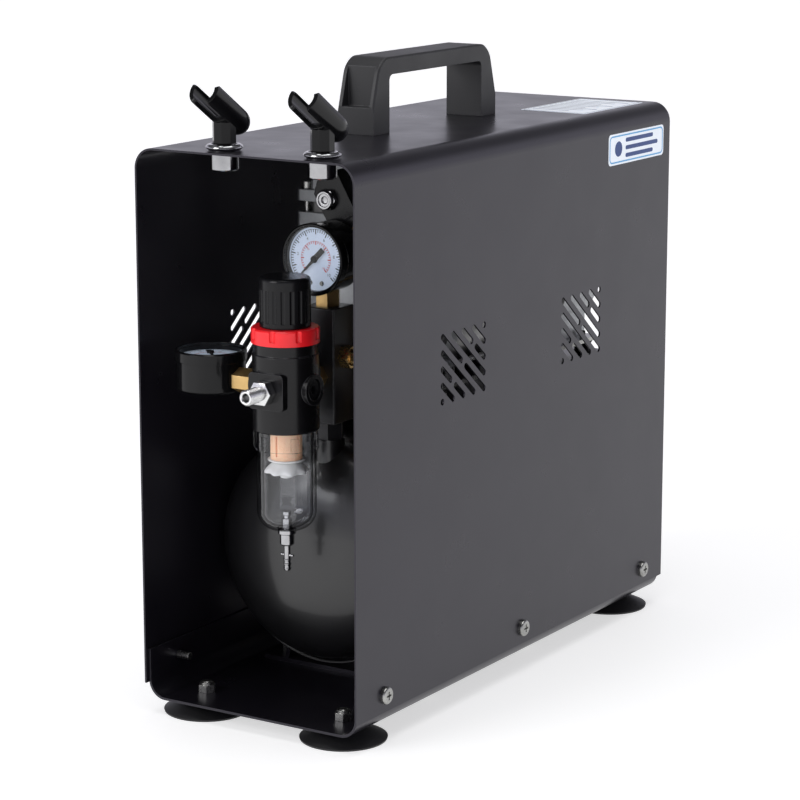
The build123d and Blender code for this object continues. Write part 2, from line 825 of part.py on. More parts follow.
# ---- Motor ----
stator_radius = 43
stator_front = cover_y - 18
stator_back = cover_y + 47
rotor_radius = 24
bell_wall = 3
bell_back = cover_y + 70
fan_front = cover_y + 73
fan_back = cover_y + 92
rear_case_front = 2 * pump_middle - case_back
bolt_circle = 48

with BuildPart() as motor_stator:
    with BuildSketch(lengthwise(0, stator_front, shaft_z)):
        Circle(stator_radius)
        Circle(rotor_radius + body_gap + 0.2, mode=Mode.SUBTRACT)
        with PolarLocations(33, 12):
            Circle(3.6, mode=Mode.SUBTRACT)
    extrude(amount=stator_back - stator_front)
keep("motor_stator", motor_stator.part)

with BuildPart() as motor_winding:
    for start, length in ((stator_front - 14, 14), (stator_back, 14)):
        with BuildSketch(lengthwise(0, start, shaft_z)):
            Circle(38)
            Circle(28, mode=Mode.SUBTRACT)
        extrude(amount=length)
    with BuildSketch(lengthwise(0, stator_front, shaft_z)):
        with PolarLocations(33, 12):
            Circle(3.5)
    extrude(amount=stator_back - stator_front)
keep("motor_winding", motor_winding.part)


def end_bell(low, high, plate_at_high):
    """Ventilated ring between the stator and a bearing plate, with ears for the long bolts."""
    with BuildPart() as bell:
        with BuildSketch(lengthwise(0, low, shaft_z)):
            Circle(stator_radius)
            with PolarLocations(bolt_circle - 2, 4, start_angle=45):
                Circle(5)
        extrude(amount=high - low)
        hollow_low = low if plate_at_high else low + 4
        hollow_high = high - 4 if plate_at_high else high
        with BuildSketch(lengthwise(0, hollow_low, shaft_z)):
            Circle(stator_radius - bell_wall)
        extrude(amount=hollow_high - hollow_low, mode=Mode.SUBTRACT)
        with BuildSketch(lengthwise(0, low, shaft_z)):
            Circle(bearing_radius)
            with PolarLocations(bolt_circle, 4, start_angle=45):
                Circle(2.2)
        extrude(amount=high - low, mode=Mode.SUBTRACT)
        with BuildSketch(lengthwise(0, low, shaft_z)):
            with PolarLocations(27, 8):
                Circle(5)
        extrude(amount=high - low, mode=Mode.SUBTRACT)
    return bell.part


front_bell = end_bell(case_back, stator_front, False)
rear_bell = end_bell(stator_back, bell_back, True)
keep("motor_bells", front_bell, rear_bell)

with BuildPart() as motor_bolts:
    with BuildSketch(lengthwise(0, case_back, shaft_z)):
        with PolarLocations(bolt_circle, 4, start_angle=45):
            Circle(2)
    extrude(amount=bell_back - case_back)
    with BuildSketch(lengthwise(0, bell_back, shaft_z)):
        with PolarLocations(bolt_circle, 4, start_angle=45):
            RegularPolygon(3.5, 6, major_radius=False)
    extrude(amount=3)
keep("pump_bolts", head_bolts.part, head_bolts.part.mirror(middle_plane), motor_bolts.part)

with BuildPart() as motor_feet:
    for station in (cover_y - 8, cover_y + 37):
        with BuildSketch(lengthwise(0, station - 6, 0)):
            with Locations((0, -base_high)):
                Rectangle(56, 26, align=(Align.CENTER, Align.MAX))
            with Locations((0, -shaft_z)):
                Circle(stator_radius + 0.02, mode=Mode.SUBTRACT)
        extrude(amount=12)
keep("pump_base", pump_base.part, motor_feet.part)

with BuildPart() as bearings:
    for start in (case_back - bearing_width, rear_case_front):
        with BuildSketch(lengthwise(0, start, shaft_z)):
            Circle(bearing_radius - 0.01)
            Circle(shaft_radius + running_gap, mode=Mode.SUBTRACT)
        extrude(amount=bearing_width)
        with BuildSketch(lengthwise(0, start, shaft_z)):
            Circle(9)
            Circle(6.5, mode=Mode.SUBTRACT)
        extrude(amount=0.6, mode=Mode.SUBTRACT)
keep("bearings", bearings.part)

with BuildPart() as rotor:
    with BuildSketch(lengthwise(0, crank_front, shaft_z)):
        Circle(shaft_radius)
    extrude(amount=2 * (pump_middle - crank_front))
    with BuildSketch(lengthwise(0, stator_front, shaft_z)):
        Circle(rotor_radius)
    extrude(amount=stator_back - stator_front)
keep("rotor", rotor.part)

blade_count = 8
with BuildPart() as cooling_fan:
    with BuildSketch(lengthwise(0, fan_front, shaft_z)):
        Circle(12)
        Circle(shaft_radius + 0.02, mode=Mode.SUBTRACT)
    extrude(amount=fan_back - fan_front)
    with BuildSketch(lengthwise(0, fan_front, shaft_z)):
        Circle(36)
        Circle(10, mode=Mode.SUBTRACT)
    extrude(amount=1.6)
    with BuildSketch(lengthwise(0, fan_front, shaft_z)):
        with PolarLocations(23.5, blade_count):
            Rectangle(25, 1.8, rotation=24)
    extrude(amount=fan_back - fan_front - 1)
keep("cooling_fan", cooling_fan.part)

window_count = 12
with BuildPart() as fan_shroud:
    with BuildSketch(lengthwise(0, bell_back, shaft_z)):
        Circle(stator_radius)
        Circle(stator_radius - 2.4, mode=Mode.SUBTRACT)
        with PolarLocations(bolt_circle, 4, start_angle=45):
            Circle(6.6, mode=Mode.SUBTRACT)
    extrude(amount=rear_case_front - bell_back)
    with BuildSketch(lengthwise(0, fan_back, shaft_z)):
        with PolarLocations(stator_radius, window_count):
            Rectangle(12, 14)
    extrude(amount=rear_case_front - fan_back - 6, mode=Mode.SUBTRACT)
keep("fan_shroud", fan_shroud.part)

# ---- Pressure switch, its pipe, and the delivery pipe ----
switch_centre = Vector(8, cover_y - 115, 324.5)
switch_tilt = 30
switch_width = 22
switch_height = 30
switch_depth = 18
switch_face = Plane(
    origin=switch_centre,
    x_dir=(cos(radians(switch_tilt)), 0, sin(radians(switch_tilt))),
    z_dir=(0, -1, 0),
)
with BuildPart() as pressure_switch:
    with BuildSketch(switch_face) as switch_outline:
        Rectangle(switch_width, switch_height)
        chamfer(switch_outline.vertices().group_by(Axis.Y)[-1].sort_by(Axis.X)[0], 6)
    extrude(amount=-switch_depth)
    with BuildSketch(switch_face.offset(-1)):
        with Locations((0, -switch_height / 2)):
            Rectangle(switch_width + 1.6, 5.4, align=(Align.CENTER, Align.MAX))
    extrude(amount=-switch_depth + 2)
    with BuildSketch(switch_face.offset(1)):
        with Locations((-3.4, 1.4)):
            Circle(5)
    extrude(amount=-8, mode=Mode.SUBTRACT)
keep("pressure_switch", pressure_switch.part)

with BuildPart() as switch_nut:
    with BuildSketch(switch_face.offset(-7)):
        with Locations((-3.4, 1.4)):
            Circle(4.9)
    extrude(amount=7)
    with BuildSketch(switch_face):
        with Locations((-3.4, 1.4)):
            RegularPolygon(6.5, 6, major_radius=False)
    extrude(amount=5)
    chamfer(switch_nut.edges().group_by(Axis.Y)[0], 0.9)
    with BuildSketch(switch_face.offset(5.5)):
        with Locations((-3.4, 1.4)):
            Circle(2)
    extrude(amount=-6, mode=Mode.SUBTRACT)
keep("switch_nut", switch_nut.part)

pipe_radius = 3
down = Vector(sin(radians(switch_tilt)), 0, -cos(radians(switch_tilt)))
pipe_start = switch_centre + Vector(0, 7.5, 0) + down * (switch_height / 2 + 5.5)
pipe_low = 176
bend_z = pipe_start.Z - (switch_pipe_x - pipe_start.X) / down.X * -down.Z
with BuildPart() as switch_pipe:
    with BuildLine() as switch_route:
        FilletPolyline(
            tuple(pipe_start),
            (switch_pipe_x, switch_pipe_y, bend_z),
            (switch_pipe_x, switch_pipe_y, pipe_low - 8),
            radius=14,
        )
    with BuildSketch(Plane(origin=pipe_start, z_dir=down)):
        Circle(pipe_radius)
    sweep()
    with BuildSketch(Plane.XY.offset(174)):
        with Locations((switch_pipe_x, switch_pipe_y)):
            RegularPolygon(5.5, 6, major_radius=False)
    extrude(amount=9)

with BuildPart() as check_valve:
    with BuildSketch(Plane.XY.offset(174)):
        with Locations((inlet_x, inlet_y)):
            RegularPolygon(7, 6, major_radius=False)
    extrude(amount=14)
    with BuildSketch(Plane.XY.offset(188)):
        with Locations((inlet_x, inlet_y)):
            Circle(5.5)
    extrude(amount=10)
    with BuildSketch(Plane.XY.offset(167)):
        with Locations((inlet_x, inlet_y)):
            Circle(4)
    extrude(amount=8)
    with BuildSketch(Plane.XY.offset(199)):
        with Locations((inlet_x, inlet_y)):
            Circle(3.05)
    extrude(amount=-12, mode=Mode.SUBTRACT)

tee_z = 262
with BuildPart() as delivery_pipe:
    with BuildLine():
        FilletPolyline(
            (26, cylinder_y, delivery_z),
            (inlet_x + 8, cylinder_y, delivery_z),
            (inlet_x + 8, inlet_y, 240),
            (inlet_x, inlet_y, 225),
            (inlet_x, inlet_y, 190),
            radius=(12, 20, 20),
        )
    with BuildSketch(Plane.YZ.offset(26)):
        with Locations((cylinder_y, delivery_z)):
            Circle(2.95)
    sweep()
    with Locations((inlet_x + 8, inlet_y, tee_z)):
        Cylinder(5.5, 18)

rear_cylinder_y = 2 * pump_middle - cylinder_y
with BuildPart() as link_pipe:
    with BuildLine():
        FilletPolyline(
            (26, rear_cylinder_y, delivery_z),
            (inlet_x + 8, rear_cylinder_y, delivery_z),
            (inlet_x + 8, rear_cylinder_y - 30, tee_z),
            (inlet_x + 8, inlet_y + 5.6, tee_z),
            radius=(12, 20),
        )
    with BuildSketch(Plane.YZ.offset(26)):
        with Locations((rear_cylinder_y, delivery_z)):
            Circle(2.95)
    sweep()

# ---- Manifold block with its nipple and safety valve ----
manifold_width = 24
manifold_depth = 23
manifold_front = manifold_y - manifold_depth / 2
with BuildPart() as manifold_block:
    with Locations((manifold_x, manifold_y, manifold_low)):
        Box(
            manifold_width,
            manifold_depth,
            manifold_high - manifold_low,
            align=(Align.CENTER, Align.CENTER, Align.MIN),
        )
    chamfer(manifold_block.edges(), 0.8)
    with BuildSketch(Plane.XY.offset(manifold_low - 1)):
        with Locations((manifold_x, manifold_y)):
            Circle(5.05)
    extrude(amount=manifold_high - manifold_low + 2, mode=Mode.SUBTRACT)
    with BuildSketch(lengthwise(manifold_x, manifold_front - 1, port_z)):
        Circle(4.95)
    extrude(amount=manifold_depth / 2 + 1, mode=Mode.SUBTRACT)
    with BuildSketch(Plane.YZ.offset(manifold_x)):
        with Locations((manifold_y, 229)):
            Circle(4.05)
    extrude(amount=manifold_width, mode=Mode.SUBTRACT)

with BuildPart() as manifold_nipple:
    with BuildSketch(Plane.XY.offset(176)):
        with Locations((manifold_x, manifold_y)):
            RegularPolygon(8.5, 6, major_radius=False)
    extrude(amount=manifold_low - 176)
    with BuildSketch(Plane.XY.offset(166)):
        with Locations((manifold_x, manifold_y)):
            Circle(6)
    extrude(amount=11)
    with BuildSketch(Plane.XY.offset(manifold_low)):
        with Locations((manifold_x, manifold_y)):
            Circle(5)
    extrude(amount=10)
    with BuildSketch(Plane.XY.offset(165)):
        with Locations((manifold_x, manifold_y)):
            Circle(3)
    extrude(amount=40, mode=Mode.SUBTRACT)

keep("manifold_block", manifold_block.part, manifold_nipple.part)

valve_start = manifold_x + manifold_width / 2
valve_axis_z = 229
with BuildPart() as safety_valve:
    with BuildSketch(Plane.YZ.offset(valve_start - 6)):
        with Locations((manifold_y, valve_axis_z)):
            Circle(4)
    extrude(amount=6)
    with BuildSketch(Plane.YZ.offset(valve_start)):
        with Locations((manifold_y, valve_axis_z)):
            RegularPolygon(6.5, 6, major_radius=False)
    extrude(amount=7)
    with BuildSketch(Plane.YZ.offset(valve_start + 7)):
        with Locations((manifold_y, valve_axis_z)):
            Circle(5.4)
    extrude(amount=7)
    with BuildSketch(Plane.YZ.offset(valve_start + 14)):
        with Locations((manifold_y, valve_axis_z)):
            Circle(1.5 + running_gap)
    extrude(amount=-8, mode=Mode.SUBTRACT)
keep("safety_valve", safety_valve.part)

with BuildPart() as safety_valve_pull:
    with BuildSketch(Plane.YZ.offset(valve_start + 14 + body_gap)):
        with Locations((manifold_y, valve_axis_z)):
            Circle(5.8)
    extrude(amount=5)
    with BuildSketch(Plane.YZ.offset(valve_start + 14 + body_gap)):
        with Locations((manifold_y, valve_axis_z)):
            Circle(1.5)
    extrude(amount=-7)
    with BuildSketch(Plane.YZ.offset(valve_start + 19)):
        with Locations((manifold_y, valve_axis_z)):
            Circle(3.4)
    extrude(amount=4.5)
keep("safety_valve_pull", safety_valve_pull.part)

# ---- Filter regulator ----
body_radius = 20.5
body_low = 190.4
body_high = 244.7
boss_reach = 21.5
thread_radius = 4.864  # G 1/8 outside
thread_bore = 4.95
ring_high = 254.2
knob_radius = 15.7
knob_low = ring_high + 0.4
knob_high = 285

with BuildPart() as regulator_body:
    with BuildSketch(section(regulator_x, regulator_y)):
        with BuildLine():
            Polyline(
                (0, body_low),
                (body_radius - 0.8, body_low),
                (body_radius, body_low + 0.8),
                (body_radius, body_high - 7),
                (body_radius - 0.6, body_high - 6.4),
                (body_radius - 0.6, body_high),
                (0, body_high),
                close=True,
            )
        make_face()
    revolve(axis=upright(regulator_x, regulator_y))
    with BuildSketch(lengthwise(regulator_x, regulator_y - boss_reach, port_z)):
        RectangleRounded(25, 22.5, 2.5)
    extrude(amount=10)
    with BuildSketch(lengthwise(regulator_x, regulator_y, port_z)):
        RectangleRounded(22, 22, 2.5)
    extrude(amount=boss_reach)
    for side in (-1, 1):
        with BuildSketch(Plane.YZ.offset(regulator_x)):
            with Locations((regulator_y, port_z)):
                Circle(9.6)
        extrude(amount=side * boss_reach)
    with BuildSketch(lengthwise(regulator_x, regulator_y - boss_reach - 1, port_z)):
        Circle(thread_bore)
    extrude(amount=14, mode=Mode.SUBTRACT)
    with BuildSketch(lengthwise(regulator_x, regulator_y + boss_reach + 1, port_z)):
        Circle(thread_bore)
    extrude(amount=-14, mode=Mode.SUBTRACT)
    with BuildSketch(Plane.YZ.offset(regulator_x - boss_reach - 1)):
        with Locations((regulator_y, port_z)):
            Circle(thread_bore)
    extrude(amount=14, mode=Mode.SUBTRACT)
    with BuildSketch(Plane.YZ.offset(regulator_x + boss_reach + 1)):
        with Locations((regulator_y, port_z)):
            Circle(6.6)
    extrude(amount=-10, mode=Mode.SUBTRACT)
    with BuildSketch(Plane.XY.offset(body_high + 1)):
        with Locations((regulator_x, regulator_y)):
            Circle(17.2)
    extrude(amount=-13, mode=Mode.SUBTRACT)
    with BuildSketch(Plane.XY.offset(body_low - 1)):
        with Locations((regulator_x, regulator_y)):
            Circle(11.5)
    extrude(amount=13, mode=Mode.SUBTRACT)
keep("regulator_body", regulator_body.part)

with BuildPart() as bonnet:
    with BuildSketch(section(regulator_x, regulator_y)):
        with BuildLine():
            Polyline(
                (9.5, body_high - 10.5),
                (17, body_high - 10.5),
                (17, body_high),
                (12.2, body_high),
                (12.2, 271),
                (shaft_radius - 1 + running_gap, 271),
                (shaft_radius - 1 + running_gap, 267),
                (9.5, 267),
                close=True,
            )
        make_face()
    revolve(axis=upright(regulator_x, regulator_y))
keep("bonnet", bonnet.part)

spring_low = body_high - 10.6
with BuildPart() as regulator_spring:
    with BuildLine():
        Helix(pitch=4.6, height=18.4, radius=7, center=(regulator_x, regulator_y, spring_low + 1.2))
    with BuildSketch(
        Plane(origin=(regulator_x + 7, regulator_y, spring_low + 1.2), z_dir=(0, 1, 0.1))
    ):
        Circle(0.9)
    sweep(is_frenet=True)
keep("regulator_spring", regulator_spring.part)

with BuildPart() as regulator_ring:
    with BuildSketch(Plane.XY.offset(body_high)):
        with Locations((regulator_x, regulator_y)):
            Circle(21)
            Circle(12.5, mode=Mode.SUBTRACT)
    extrude(amount=ring_high - body_high)
    chamfer(regulator_ring.edges().group_by(Axis.Z)[-1], 0.9)
    for notch in range(8):
        with Locations(
            (
                regulator_x + 21.4 * cos(radians(notch * 45 + 12)),
                regulator_y + 21.4 * sin(radians(notch * 45 + 12)),
                body_high + 2.6,
            )
        ):
            Cylinder(1.9, 12, align=(Align.CENTER, Align.CENTER, Align.MIN), mode=Mode.SUBTRACT)
keep("regulator_ring", regulator_ring.part)

screw_radius = shaft_radius - 1
with BuildPart() as adjusting_screw:
    with BuildSketch(Plane.XY.offset(258)):
        with Locations((regulator_x, regulator_y)):
            Circle(screw_radius)
    extrude(amount=22)
    with BuildSketch(Plane.XY.offset(258)):
        with Locations((regulator_x, regulator_y)):
            Circle(8.6)
    extrude(amount=3)
keep("adjusting_screw", adjusting_screw.part)

flute_count = 18
with BuildPart() as regulator_knob:
    with BuildSketch(Plane.XY.offset(knob_low)):
        with Locations((regulator_x, regulator_y)):
            Circle(knob_radius)
    extrude(amount=knob_high - knob_low)
    fillet(regulator_knob.edges().group_by(Axis.Z)[-1], 2.4)
    with BuildSketch(Plane.XY.offset(knob_low + 3)):
        with Locations((regulator_x, regulator_y)):
            with PolarLocations(knob_radius + 1.2, flute_count):
                Circle(1.9)
    extrude(amount=20, mode=Mode.SUBTRACT)
    with BuildSketch(Plane.XY.offset(knob_low - 1)):
        with Locations((regulator_x, regulator_y)):
            Circle(12.6)
    extrude(amount=18.4, mode=Mode.SUBTRACT)
    with BuildSketch(Plane.XY.offset(knob_low)):
        with Locations((regulator_x, regulator_y)):
            Circle(screw_radius + running_gap)
    extrude(amount=27, mode=Mode.SUBTRACT)
keep("regulator_knob", regulator_knob.part)

collar_radius = 19.4
bowl_radius = 18.35
bowl_wall = 2.2
bowl_low = 127.4
drain_hole = 3.2
with BuildPart() as filter_bowl:
    with BuildSketch(section(regulator_x, regulator_y)):
        with BuildLine():
            Polyline(
                (bowl_radius - bowl_wall, body_low - 0.05),
                (collar_radius, body_low - 0.05),
                (collar_radius, 179),
                (bowl_radius, 179),
                (bowl_radius, bowl_low + 12),
            )
            RadiusArc((bowl_radius, bowl_low + 12), (bowl_radius - 12, bowl_low), 12)
            Polyline(
                (bowl_radius - 12, bowl_low),
                (drain_hole, bowl_low),
                (drain_hole, bowl_low + bowl_wall),
                (bowl_radius - 12, bowl_low + bowl_wall),
            )
            RadiusArc(
                (bowl_radius - 12, bowl_low + bowl_wall), (bowl_radius - bowl_wall, bowl_low + 12), -9.8
            )
            Line((bowl_radius - bowl_wall, bowl_low + 12), (bowl_radius - bowl_wall, body_low - 0.05))
        make_face()
    revolve(axis=upright(regulator_x, regulator_y))
    with BuildSketch(Plane.XY.offset(179)):
        with Locations((regulator_x, regulator_y)):
            with PolarLocations(collar_radius, 6, start_angle=20):
                Rectangle(1.6, 5)
    extrude(amount=9)
keep("filter_bowl", filter_bowl.part)

element_low = 172
with BuildPart() as filter_element:
    with BuildSketch(Plane.XY.offset(element_low)):
        with Locations((regulator_x, regulator_y)):
            Circle(10)
            with PolarLocations(10.2, 16):
                Circle(0.8, mode=Mode.SUBTRACT)
            Circle(6.5, mode=Mode.SUBTRACT)
    extrude(amount=body_low + 4 - element_low)
keep("filter_element", filter_element.part)

with BuildPart() as filter_baffle:
    with BuildSketch(section(regulator_x, regulator_y)):
        with BuildLine():
            Polyline(
                (0, 160), (3.6, 160), (4.2, 164), (13, 163.2), (14, 164.4), (13.4, 166.4), (9, 168.6),
                (11, 170), (11, element_low), (4, element_low), (4, 200), (0, 200), close=True,
            )
        make_face()
    revolve(axis=upright(regulator_x, regulator_y))
keep("filter_baffle", filter_baffle.part)

with BuildPart() as drain_body:
    with BuildSketch(section(regulator_x, regulator_y)):
        with BuildLine():
            Polyline(
                (2 + running_gap, 117), (3.6, 117), (4.5, 118), (4.5, 124), (5.6, 124.6), (5.6, bowl_low),
                (drain_hole - 0.02, bowl_low), (drain_hole - 0.02, 134), (2 + running_gap, 134), close=True,
            )
        make_face()
    revolve(axis=upright(regulator_x, regulator_y))
keep("drain_body", drain_body.part)

with BuildPart() as drain_plunger:
    with BuildSketch(section(regulator_x, regulator_y)):
        with BuildLine():
            Polyline(
                (0, 101), (1.9, 101), (2.7, 102.6), (2, 102.8), (2, 103.8), (2.7, 105.4), (2, 105.6),
                (2, 106.6), (2.7, 108.2), (2, 108.4), (2, 136), (3, 136.4), (3, 138.5), (0, 138.5),
                close=True,
            )
        make_face()
    revolve(axis=upright(regulator_x, regulator_y))
    with Locations((regulator_x, regulator_y, 110.7)):
        Cylinder(0.8, 9, rotation=(0, 90, 0))
    with BuildSketch(Plane.XY.offset(100)):
        with Locations((regulator_x, regulator_y)):
            Circle(1)
    extrude(amount=40, mode=Mode.SUBTRACT)
keep("drain_plunger", drain_plunger.part)

outlet_face = regulator_y - boss_reach
outlet_tip = cover_front - outlet_overhang
hex_thickness = 7
thread_length = 11.7
with BuildPart() as outlet_nipple:
    with BuildSketch(lengthwise(regulator_x, outlet_face, port_z)):
        RegularPolygon(7, 6, major_radius=False)
    extrude(amount=-hex_thickness)
    chamfer(outlet_nipple.edges().group_by(Axis.Y)[0], 0.9)
    with BuildSketch(lengthwise(regulator_x, outlet_face, port_z)):
        Circle(thread_radius)
    extrude(amount=10)
    with BuildSketch(lengthwise(regulator_x, outlet_tip + thread_length, port_z)):
        Circle(4.1)
    extrude(amount=4)
    with BuildSketch(lengthwise(regulator_x, outlet_tip, port_z)):
        Circle(thread_radius)
    extrude(amount=thread_length)
    with BuildSketch(lengthwise(regulator_x, outlet_tip - 1, port_z)):
        Circle(2.6)
    extrude(amount=40, mode=Mode.SUBTRACT)
keep("outlet_nipple", outlet_nipple.part)

inlet_low = regulator_y + boss_reach
with BuildPart() as inlet_nipple:
    with BuildSketch(lengthwise(regulator_x, inlet_low, port_z)):
        RegularPolygon(6.5, 6, major_radius=False)
    extrude(amount=manifold_front - inlet_low)
    with BuildSketch(lengthwise(regulator_x, inlet_low - 8, port_z)):
        Circle(thread_radius)
    extrude(amount=manifold_front - inlet_low + 14)
    with BuildSketch(lengthwise(regulator_x, inlet_low - 9, port_z)):
        Circle(3)
    extrude(amount=50, mode=Mode.SUBTRACT)

with BuildPart() as port_plug:
    with BuildSketch(Plane.YZ.offset(regulator_x + boss_reach - 1)):
        with Locations((regulator_y, port_z)):
            Circle(6.5)
    extrude(amount=-8)
    with BuildSketch(Plane.YZ.offset(regulator_x + boss_reach - 1)):
        with Locations((regulator_y, port_z)):
            RegularPolygon(2.5, 6, major_radius=False)
    extrude(amount=-4, mode=Mode.SUBTRACT)
keep("port_plug", port_plug.part)

# ---- Pressure gauges ----
bezel_height = 6.5
case_side = 21.7
dial_station = 20.4
lens_station = 23.8
stem_station = 8
dial_radius = 19.7
staff_radius = 1


def turned(plane, points):
    """Solid of revolution about the plane's normal from (radius, height) points."""
    profile = Plane(origin=plane.origin, x_dir=plane.x_dir, z_dir=-plane.y_dir)
    with BuildPart() as piece:
        with BuildSketch(profile):
            with BuildLine():
                Polyline(*points, close=True)
            make_face()
        revolve(axis=Axis(plane.origin, plane.z_dir))
    return piece.part


def gauge_case(plane):
    """Cup with a bezel, a ledge for the dial and one for the lens."""
    front = gauge_depth
    step = gauge_depth - bezel_height
    outline = [
        (0, 0),
        (case_side - 1.5, 0),
        (case_side, 1.5),
        (case_side, step),
        (gauge_radius, step),
        (gauge_radius, front - 0.8),
        (gauge_radius - 0.8, front),
        (20.6, front),
        (20.6, lens_station),
        (dial_radius + 0.1, lens_station),
        (dial_radius + 0.1, dial_station),
        (19, dial_station),
        (19, 2),
        (0, 2),
    ]
    return turned(plane, outline)


def gauge_disc(plane, inner, outer, low, thickness):
    """Flat ring or disc inside the cup, for the dial and the lens."""
    return turned(plane, [(inner, low), (outer, low), (outer, low + thickness), (inner, low + thickness)])


def gauge_needle(plane):
    """Pointer with its hub and staff, turned to the zero of the scale."""
    with BuildPart() as needle:
        with BuildSketch(plane.offset(dial_station + 1.5)):
            with BuildLine():
                Polyline(
                    (-6.5, -1.1), (-6.5, 1.1), (0, 0.8), (14.5, 0.15), (14.5, -0.15), (0, -0.8), close=True
                )
            make_face()
            Circle(2.4)
        extrude(amount=0.6)
        with BuildSketch(plane.offset(dial_station - 4)):
            Circle(staff_radius)
        extrude(amount=7)
    return needle.part.rotate(Axis(plane.origin, plane.z_dir), zero_angle)


stem_hexagon = 7  # half of 14 mm across the flats


def gauge_stem(plane, reach):
    """Brass hexagon from the cup's side to the port it screws into."""
    across = Plane(origin=plane.origin + plane.z_dir * stem_station, z_dir=-plane.y_dir)
    with BuildPart() as stem:
        with BuildSketch(across):
            RegularPolygon(stem_hexagon, 6, major_radius=False)
        extrude(amount=reach)
        with BuildSketch(across):
            Circle(thread_radius)
        extrude(amount=reach + 8)
        with BuildSketch(plane.offset(-5)):
            Circle(case_side + 0.05)
        extrude(amount=40, mode=Mode.SUBTRACT)
    return stem.part


tank_gauge_z = 290.7
tank_gauge_back = manifold_y + stem_station
regulator_gauge_x = -45.3
zero_angle = 225
tank_gauge = Plane(
    origin=(manifold_x, tank_gauge_back, tank_gauge_z), x_dir=(1, 0, 0), z_dir=(0, -1, 0)
)
regulator_gauge = Plane(
    origin=(regulator_gauge_x, regulator_y, port_z - stem_station), x_dir=(0, 1, 0), z_dir=(0, 0, 1)
)
gauges = (tank_gauge, regulator_gauge)
reaches = (tank_gauge_z - manifold_high, regulator_x - boss_reach - regulator_gauge_x)
keep("gauge_cases", *[gauge_case(plane) for plane in gauges])
keep(
    "gauge_dials",
    *[gauge_disc(plane, staff_radius + running_gap, dial_radius, dial_station, 0.6) for plane in gauges],
)
keep("gauge_lenses", *[gauge_disc(plane, 0, 20.5, lens_station, 1.6) for plane in gauges])
keep("tank_gauge_needle", gauge_needle(tank_gauge))
keep("regulator_gauge_needle", gauge_needle(regulator_gauge))
stems = [gauge_stem(plane, reach) for plane, reach in zip(gauges, reaches)]
keep(
    "air_lines",
    switch_pipe.part,
    check_valve.part,
    delivery_pipe.part,
    link_pipe.part,
    inlet_nipple.part,
    *stems,
)

# ---- Switch box at the back with rocker and cord gland ----
box_x = 40
box_width = 52
box_front = cover_y + 120
box_depth = 40
box_high = 86
box_wall = 2
switch_z = 58
rocker_radius = 9
rocker_sink = 6
box_back = box_front + box_depth

with BuildPart() as switch_box:
    with Locations((box_x, box_front, tray_floor)):
        Box(box_width, box_depth, box_high - tray_floor, align=(Align.CENTER, Align.MIN, Align.MIN))
    fillet(switch_box.edges().filter_by(Axis.Z), 3)
    with Locations((box_x, box_front + box_wall, tray_floor + box_wall)):
        Box(
            box_width - 2 * box_wall,
            box_depth - 2 * box_wall,
            box_high - tray_floor - 2 * box_wall,
            align=(Align.CENTER, Align.MIN, Align.MIN),
            mode=Mode.SUBTRACT,
        )
    with BuildSketch(lengthwise(box_x, box_back - box_wall - 1, switch_z)):
        Rectangle(14.2, 22.2)
    extrude(amount=box_wall + 2, mode=Mode.SUBTRACT)
    with BuildSketch(lengthwise(box_x - 14, box_back - box_wall - 1, 28)):
        Circle(7.1)
    extrude(amount=box_wall + 2, mode=Mode.SUBTRACT)
keep("switch_box", switch_box.part)

with BuildPart() as switch_frame:
    with BuildSketch(lengthwise(box_x, box_back, switch_z)):
        RectangleRounded(18, 26, 2)
    extrude(amount=2)
    with BuildSketch(lengthwise(box_x, box_back, switch_z)):
        Rectangle(14, 22)
    extrude(amount=-17)
    with Locations((box_x, box_back + 2 - rocker_sink, switch_z)):
        Cylinder(rocker_radius + body_gap, 11.6, rotation=(0, 90, 0), mode=Mode.SUBTRACT)
keep("switch_frame", switch_frame.part)

with BuildPart() as rocker:
    with Locations((box_x, box_back + 2 - rocker_sink, switch_z)):
        Cylinder(rocker_radius, 11, rotation=(0, 90, 0))
        with Locations((0, -rocker_radius - 1, 0)):
            Box(20, 2 * rocker_radius, 30, mode=Mode.SUBTRACT)
    with BuildSketch(Plane.YZ.offset(box_x - 6)):
        with BuildLine():
            Polyline(
                (box_back + 12, switch_z + 12),
                (box_back + 6.5, switch_z + 12),
                (box_back + 3.2, switch_z),
                (box_back + 1.6, switch_z - 12),
                (box_back + 12, switch_z - 12),
                close=True,
            )
        make_face()
    extrude(amount=12, mode=Mode.SUBTRACT)
keep("rocker", rocker.part)

with BuildPart() as cord_gland:
    with BuildSketch(lengthwise(box_x - 14, box_back - 8, 28)):
        Circle(7)
    extrude(amount=8)
    with BuildSketch(lengthwise(box_x - 14, box_back, 28)):
        RegularPolygon(8.5, 6, major_radius=False)
    extrude(amount=5)
    with BuildSketch(lengthwise(box_x - 14, box_back + 5, 28)):
        Circle(7)
    extrude(amount=8, taper=12)
    with BuildSketch(lengthwise(box_x - 14, box_back - 9, 28)):
        Circle(3.5)
    extrude(amount=30, mode=Mode.SUBTRACT)
keep("cord_gland", cord_gland.part)

os.makedirs("parts", exist_ok=True)
for name, piece in finished.items():
    export_step(piece, f"parts/{name}.step")
print(len(finished), "nodes written")
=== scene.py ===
import bpy
import bmesh
import json
from math import acos, atan2, cos, pi, radians, sin, sqrt
from mathutils import Matrix, Vector


